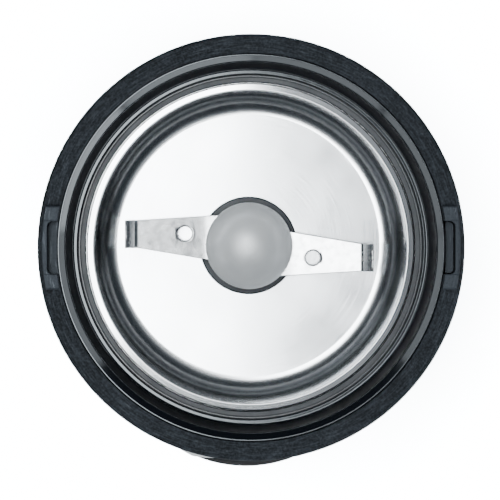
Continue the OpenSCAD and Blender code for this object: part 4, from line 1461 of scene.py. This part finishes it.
        flats = ((0, 0), (0.5, mouth), (0.85, mouth))
        turns = np.linspace(0, 1, 5) * TURN / 4
        bend = [(self.hole_r + ease * (1 - math.sin(s)), ease * (1 - math.cos(s))) for s in turns]
        rings = [ring(share, r, True, 0) for share, r in flats] + [ring(1, r, True, sink) for r, sink in bend]
        rings += [ring(1, r, False, -sink) for r, sink in bend[::-1]]
        rings += [ring(share, r, False, 0) for share, r in flats[::-1]]
        points = np.stack(rings)
        return Surface(points.reshape(-1, 3), [grid_faces(len(rings), points.shape[1], False, True)[:, ::-1]])

    def _cap(self) -> None:
        """Turn the cap: a shallow dome over a short skirt, hollow where it sits on the shaft."""
        low, high = limits("hub_cap")
        bottom, top = low[2], high[2]
        rim = bottom + self.cap_skirt
        reach, drop = dome(self.cap_r, top - rim, self.cap_edge, 26)
        crown = np.stack([reach, top - drop], axis=1)
        bore_top = limits("motor_shaft")[1][2] + 0.2
        rest = rounded([
            (crown[-1, 0], crown[-1, 1], 0.0),
            (self.cap_r, rim - 0.1, 0.35),
            (self.cap_r, bottom, 0.2),
            (self.cap_bore, bottom, 0.1),
            (self.cap_bore, bore_top, 0.1),
            (0.0, bore_top, 0.0),
        ], closed=False, steps=6)
        cap = turned_solid(np.vstack([crown, rest[1:]]))
        settle(cap.piece("hub_dome_cap"), "rotor", "satin_grey", "hub_cap")


# ---------------------------------------------------------------- the front button


@dataclass
class FrontButton:
    """The round push button low on the front, with its bezel and spring.

    Its own axis is local Z, which points to the rear from the bezel's front face.
    """

    z: float = 40.0
    button_r: float = 12.6
    bore_r: float = 12.9
    inner_r: float = 14.0
    neck_r: float = 15.4
    lip: float = 2.5
    bezel_r: float = 16.4
    flange_t: float = 2.2
    cavity: float = 1.6
    stem_r: float = 2.6
    wall: float = 2.0
    crown_edge: float = 0.45
    face_w: float = 0.5
    face_fall: float = 1.7
    rim_inset: float = 0.6
    proud: float = 0.12
    coil_r: float = 4.6
    coil_wire: float = 0.35

    def __post_init__(self) -> None:
        """Take the bezel's front and back from the CAD node."""
        low, high = limits("button_bezel")
        self.front: float = low[1]
        self.back: float = high[1] - self.front
        self.bezel_r = high[0]
        near, far = limits("push_button")
        self.dome: float = self.front - near[1]
        self.stem_end: float = far[1] - self.front

    def _placed(self, surface: Surface) -> Surface:
        """The surface with its own Z turned to the button's axis and its X kept."""
        return surface.placed((0.0, self.front, self.z), TO_REAR)

    def build(self) -> None:
        """Make the button, the bezel and the spring."""
        self._button()
        self._bezel()
        self._spring()

    def _button(self) -> None:
        """Turn the button: a shallow dome, its side, a flange behind the bezel's lip, and a hollow back."""
        reach, drop = dome(self.button_r, self.dome, self.crown_edge, 22)
        crown = np.stack([reach, drop - self.dome], axis=1)
        flange = self.lip + 0.3
        end = flange + self.flange_t
        wide, hollow = self.inner_r - 0.3, self.button_r - self.wall
        rest = rounded([
            (crown[-1, 0], crown[-1, 1], 0.0),
            (self.button_r, 0.12, 0.4),
            (self.button_r, flange, 0.15),
            (wide, flange, 0.2),
            (wide, end, 0.2),
            (hollow, end, 0.2),
            (hollow, self.cavity, 0.3),
            (self.stem_r, self.cavity, 0.3),
            (self.stem_r, self.stem_end, 0.3),
            (0.0, self.stem_end, 0.0),
        ], closed=False)
        surface = self._placed(turned_solid(np.vstack([crown, rest[1:]])))
        settle(surface.piece("push_button_dome"), "button", "satin_black", "push_button")

    def _bezel(self) -> None:
        """Turn the bezel's section, with its flange's back cut to the tapered body.

        Where a point lies on the body, its depth is that of the body's cone at its own height: the cone's radius
        at z, less the distance by which the point stands to the side.
        """
        sleeve, rim = limits("body_sleeve"), limits("rim_collar")
        foot, foot_z = sleeve[1][0], sleeve[0][2]
        neck, top_z = rim[1][0] - self.rim_inset, rim[0][2] - 3.0
        front_path = rounded([
            (self.inner_r, self.back, 0.0),
            (self.inner_r, self.lip, 0.15),
            (self.bore_r, self.lip, 0.15),
            (self.bore_r, 0.0, 0.3),
            (self.bore_r + self.face_w, 0.0, 0.6),
            (self.bezel_r, self.face_fall, 0.25),
            (self.bezel_r, self.face_fall + 0.4, 0.0),
        ], closed=False, steps=6)
        a = angles(160)
        rows = [np.broadcast_to(p, (len(a), 2)) for p in front_path]

        def seat(r: float, sink: float) -> Array:
            """The section's points on the body.

            Args:
                r: the points' distance from the bezel's axis.
                sink: how much deeper than the body's surface they lie.

            Returns:
                Their radius and depth, one row for each angle.
            """
            x, z = r * np.cos(a), self.z - r * np.sin(a)
            cone = foot + (neck - foot) * (z - foot_z) / (top_z - foot_z)
            depth = -np.sqrt((cone + self.proud) ** 2 - x ** 2) - self.front + sink
            return np.stack([np.full(len(a), r), depth], axis=1)

        rows += [seat(r, sink) for r, sink in (
            (self.bezel_r, -0.2), (self.bezel_r - 0.06, -0.05), (self.bezel_r - 0.2, 0.0),
            (self.neck_r + 0.1, 0.0), (self.neck_r, 0.1))]
        rows += [np.broadcast_to(p, (len(a), 2)) for p in (
            (self.neck_r, self.back - 0.2), (self.neck_r - 0.2, self.back))]
        table = np.stack(rows)
        r, depth = table[..., 0], table[..., 1]
        points = np.stack([r * np.cos(a), r * np.sin(a), depth], axis=2)
        surface = Surface(points.reshape(-1, 3), [grid_faces(len(table), len(a), True, True)])
        settle(self._placed(surface).piece("button_trim_ring"), "base", "silver_trim", "button_bezel")

    def _spring(self) -> None:
        """Coil the return spring between the button and the switch's bracket, and give it a mesh of its own."""
        low, high = limits("button_spring")
        length = high[1] - low[1]
        spring = coil(self.coil_r, self.coil_wire, length, 5).placed((0.0, low[1], self.z), TO_REAR)
        obj = spring.piece("button_return_spring")
        settle(obj, "base", "zinc_steel", "button_spring")
        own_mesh(obj)


# ---------------------------------------------------------------- base and inside


@dataclass
class Foot:
    """What the grinder stands on and where its cord goes in."""

    width: float = 4.0
    rib: float = 1.3
    rib_end: float = 1.6
    hollow: float = 0.35
    cord_r: float = 3.0
    hole_r: float = 3.8
    collar_w: float = 0.8
    collar_t: float = 1.6
    face_t: float = 1.15

    def build(self) -> None:
        """Make the rubber foot ring and the cord's grommet."""
        high = limits("foot_ring")[1]
        outer, top = high[0], high[2]
        inner = outer - self.width
        path = rounded([
            (inner, 0.0, 0.7),
            (inner + self.rib, 0.0, 0.1),
            (inner + self.rib_end, self.hollow, 0.1),
            (outer - self.rib_end, self.hollow, 0.1),
            (outer - self.rib, 0.0, 0.1),
            (outer, 0.0, 0.7),
            (outer, top, 0.15),
            (inner, top, 0.15),
        ])
        settle(turned(path).piece("rubber_foot_ring"), "base", "black_rubber", "foot_ring")
        self._grommet()

    def _grommet(self) -> None:
        """Turn the grommet about the cord's axis: an outer collar, a neck through the wall, an inner collar."""
        low, high = limits("cord_grommet")
        start, end, wide = low[1], high[1], high[0]
        neck, face = self.hole_r - 0.1, end - self.face_t
        collar, collar_end = self.hole_r + self.collar_w, start + self.collar_t
        path = rounded([
            (self.cord_r, start, 0.3),
            (collar, start, 0.3),
            (collar, collar_end, 0.2),
            (neck, collar_end, 0.1),
            (neck, face, 0.1),
            (wide, face, 0.15),
            (wide - 0.5, end, 0.4),
            (self.cord_r, end, 0.5),
        ])
        surface = turned(path, 96).placed((0.0, 0.0, (low[2] + high[2]) / 2), TO_REAR)
        settle(surface.piece("cord_inlet_grommet"), "base", "black_rubber", "cord_grommet")


@dataclass
class SliderSpring:
    """The lid slider's return spring, under its foot."""

    radius: float = 1.5
    wire: float = 0.25

    def build(self) -> None:
        """Coil the spring under the slider's foot, and give it a mesh of its own."""
        low, high = limits("lid_slider_spring")
        length = high[2] - low[2]
        x, y = (low[0] + high[0]) / 2, (low[1] + high[1]) / 2
        spring = coil(self.radius, self.wire, length, 6).placed((x, y, low[2]), np.eye(3))
        obj = spring.piece("slider_return_spring")
        settle(obj, "base", "zinc_steel", "lid_slider_spring")
        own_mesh(obj)


@dataclass
class BrushSprings:
    """The two springs that press the carbon brushes to the commutator."""

    inner_end: float = 20.1
    radius: float = 2.1
    wire: float = 0.3

    def build(self) -> None:
        """Coil both springs along Y."""
        low, high = limits("brush_springs")
        length = high[1] - self.inner_end
        z, end = (low[2] + high[2]) / 2, high[1]
        to_front = np.array([[-1, 0, 0], [0, 0, -1], [0, -1, 0]])
        one = coil(self.radius, self.wire, length, 5)
        both = one.placed((0, end - length, z), TO_REAR).joined(one.placed((0, length - end, z), to_front))
        settle(both.piece("brush_pressure_springs"), "base", "zinc_steel", "brush_springs")


def dress_nodes() -> None:
    """Give every CAD node that is still shown the finish of its own slot."""
    slots = {part["node"]: part["material_slot"] for part in frame["record"]["subparts"]}
    for name, obj in sorted(frame["nodes"].items()):
        PAINTS.dress(obj, slots[name])
    log.info("%d nodes dressed", len(slots))


# ---------------------------------------------------------------- the studio


@dataclass
class Panel:
    """A soft light: where it stands, what it faces, its size in metres and its brightness."""

    name: str
    place: tuple[float, float, float]
    size: tuple[float, float]
    radiance: float
    colour: Colour
    target: tuple[float, float, float] = (0.0, 0.0, 0.12)

    def build(self) -> None:
        """Set up an area light whose surface has the stated radiance.

        An area light of power P and area A has the radiance P / (pi A).
        """
        data = bpy.data.lights.new(self.name, "AREA")
        data.shape = "RECTANGLE"
        data.size, data.size_y = self.size
        data.energy = self.radiance * math.pi * self.size[0] * self.size[1]
        data.color = self.colour
        obj = bpy.data.objects.new(self.name, data)
        obj.matrix_world = aimed(Vector(self.place), Vector(self.target))
        bpy.context.scene.collection.objects.link(obj)


def aimed(place: Vector, target: Vector) -> Matrix:
    """Aim a camera or light, with +Z up, or +Y if it looks down.

    Args:
        place: where it stands.
        target: what it looks at.

    Returns:
        Its place and turn.
    """
    back = (place - target).normalized()
    up = Vector((0, 0, 1)) if abs(back.z) < 0.9 else Vector((0, 1, 0))
    right = up.cross(back).normalized()
    turn = Matrix((right, back.cross(right), back)).transposed().to_4x4()
    return Matrix.Translation(place) @ turn


@dataclass
class Studio:
    """Camera, pale floor and soft lights."""

    camera_at: tuple[float, float, float] = (-13.20, 10.86, 1032.0)
    camera_to: tuple[float, float, float] = (-0.30, -0.51, 132.0)
    focal_px: float = 4054.5
    frame_px: float = 500.0
    sensor: float = 36.0
    floor_half: float = 1.6
    floor_colour: Colour = (0.86, 0.87, 0.88)
    floor_gain: float = 20.0
    backdrop: Colour = (6.0, 6.0, 6.0)
    world: Colour = (0.046, 0.058, 0.072)
    cool: Colour = (0.955, 0.985, 1.0)
    strips: tuple[tuple[float, float], ...] = (
        (16.0, 3.4), (-26.0, 8.2), (-69.0, 5.2), (-111.0, 3.4), (-154.0, 3.2), (-196.0, 3.2))
    strip_far: float = 1.5
    strip_z: float = 0.60
    strip_size: tuple[float, float] = (1.12, 0.40)
    overhead_at: tuple[float, float] = (-0.22, 0.12)
    overhead_z: float = 1.7
    overhead_size: tuple[float, float] = (0.48, 0.75)
    overhead_radiance: float = 17.0
    soft_at: tuple[float, float] = (-0.05, 0.0)
    soft_z: float = 1.72
    soft_size: tuple[float, float] = (0.95, 1.0)
    soft_radiance: float = 0.25
    aim_z: float = 0.1

    def build(self) -> None:
        """Set up everything that isn't part of the grinder."""
        self._camera()
        self._floor()
        self._world()
        for panel in self._panels():
            panel.build()

    def _camera(self) -> None:
        """Look down into the bowl from high above."""
        data = bpy.data.cameras.new("camera")
        data.sensor_width = self.sensor
        data.lens = self.focal_px * self.sensor / self.frame_px
        data.clip_start, data.clip_end = 0.05, 20.0
        obj = bpy.data.objects.new("camera", data)
        obj.matrix_world = aimed(Vector(self.camera_at) * MM, Vector(self.camera_to) * MM)
        bpy.context.scene.collection.objects.link(obj)
        bpy.context.scene.camera = obj

    def _floor(self) -> None:
        """A plain square floor under the foot ring, pale to its surroundings and bright to the camera."""
        h = self.floor_half
        mesh = bpy.data.meshes.new("floor")
        mesh.from_pydata([(-h, -h, 0), (h, -h, 0), (h, h, 0), (-h, h, 0)], [], [(0, 1, 2, 3)])
        floor = bpy.data.objects.new("floor", mesh)
        bpy.context.scene.collection.objects.link(floor)
        material = bpy.data.materials.new("floor")
        g = Graph(material)
        cloth = g.node("ShaderNodeBsdfDiffuse")
        bright = tuple(c * self.floor_gain for c in self.floor_colour)
        g.feed(cloth.inputs["Color"], g.seen(self.floor_colour, bright))
        g.feed(g.tree.nodes["Material Output"].inputs["Surface"], cloth.outputs[0])
        mesh.materials.append(material)

    def _world(self) -> None:
        """Dim even light from everywhere, with a pale backdrop where the camera sees it."""
        world = bpy.data.worlds.new("studio")
        g = Graph(world)
        g.feed(g.tree.nodes["Background"].inputs["Color"], g.seen(self.world, self.backdrop))
        bpy.context.scene.world = world

    def _panels(self) -> list[Panel]:
        """The soft lights, of which each strip has its direction from the axis in degrees and its radiance.

        Returns:
            Two lights overhead, and low strips round the sides and the front.
        """
        lit = [Panel(name, (*at, z), size, radiance, self.cool, (*at, self.aim_z)) for name, at, z, size, radiance in (
            ("overhead", self.overhead_at, self.overhead_z, self.overhead_size, self.overhead_radiance),
            ("overhead_soft", self.soft_at, self.soft_z, self.soft_size, self.soft_radiance))]
        for turn, radiance in self.strips:
            a = math.radians(turn)
            at = (self.strip_far * math.cos(a), self.strip_far * math.sin(a), self.strip_z)
            lit.append(Panel(f"strip_{turn:+.0f}", at, self.strip_size, radiance, self.cool))
        return lit


def main() -> None:
    """Dress the CAD nodes, build the grinder's pieces in order, then the studio, and log each step."""
    logging.basicConfig(level=logging.INFO, format="%(name)s: %(message)s")
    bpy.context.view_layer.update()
    dress_nodes()
    for part in (RimCollar(), LidSeat(), Bowl(), Blade(), FrontButton(), Foot(), SliderSpring(), BrushSprings()):
        log.info("building %s", type(part).__name__)
        part.build()
    Studio().build()


if __name__ == "__main__":
    main()
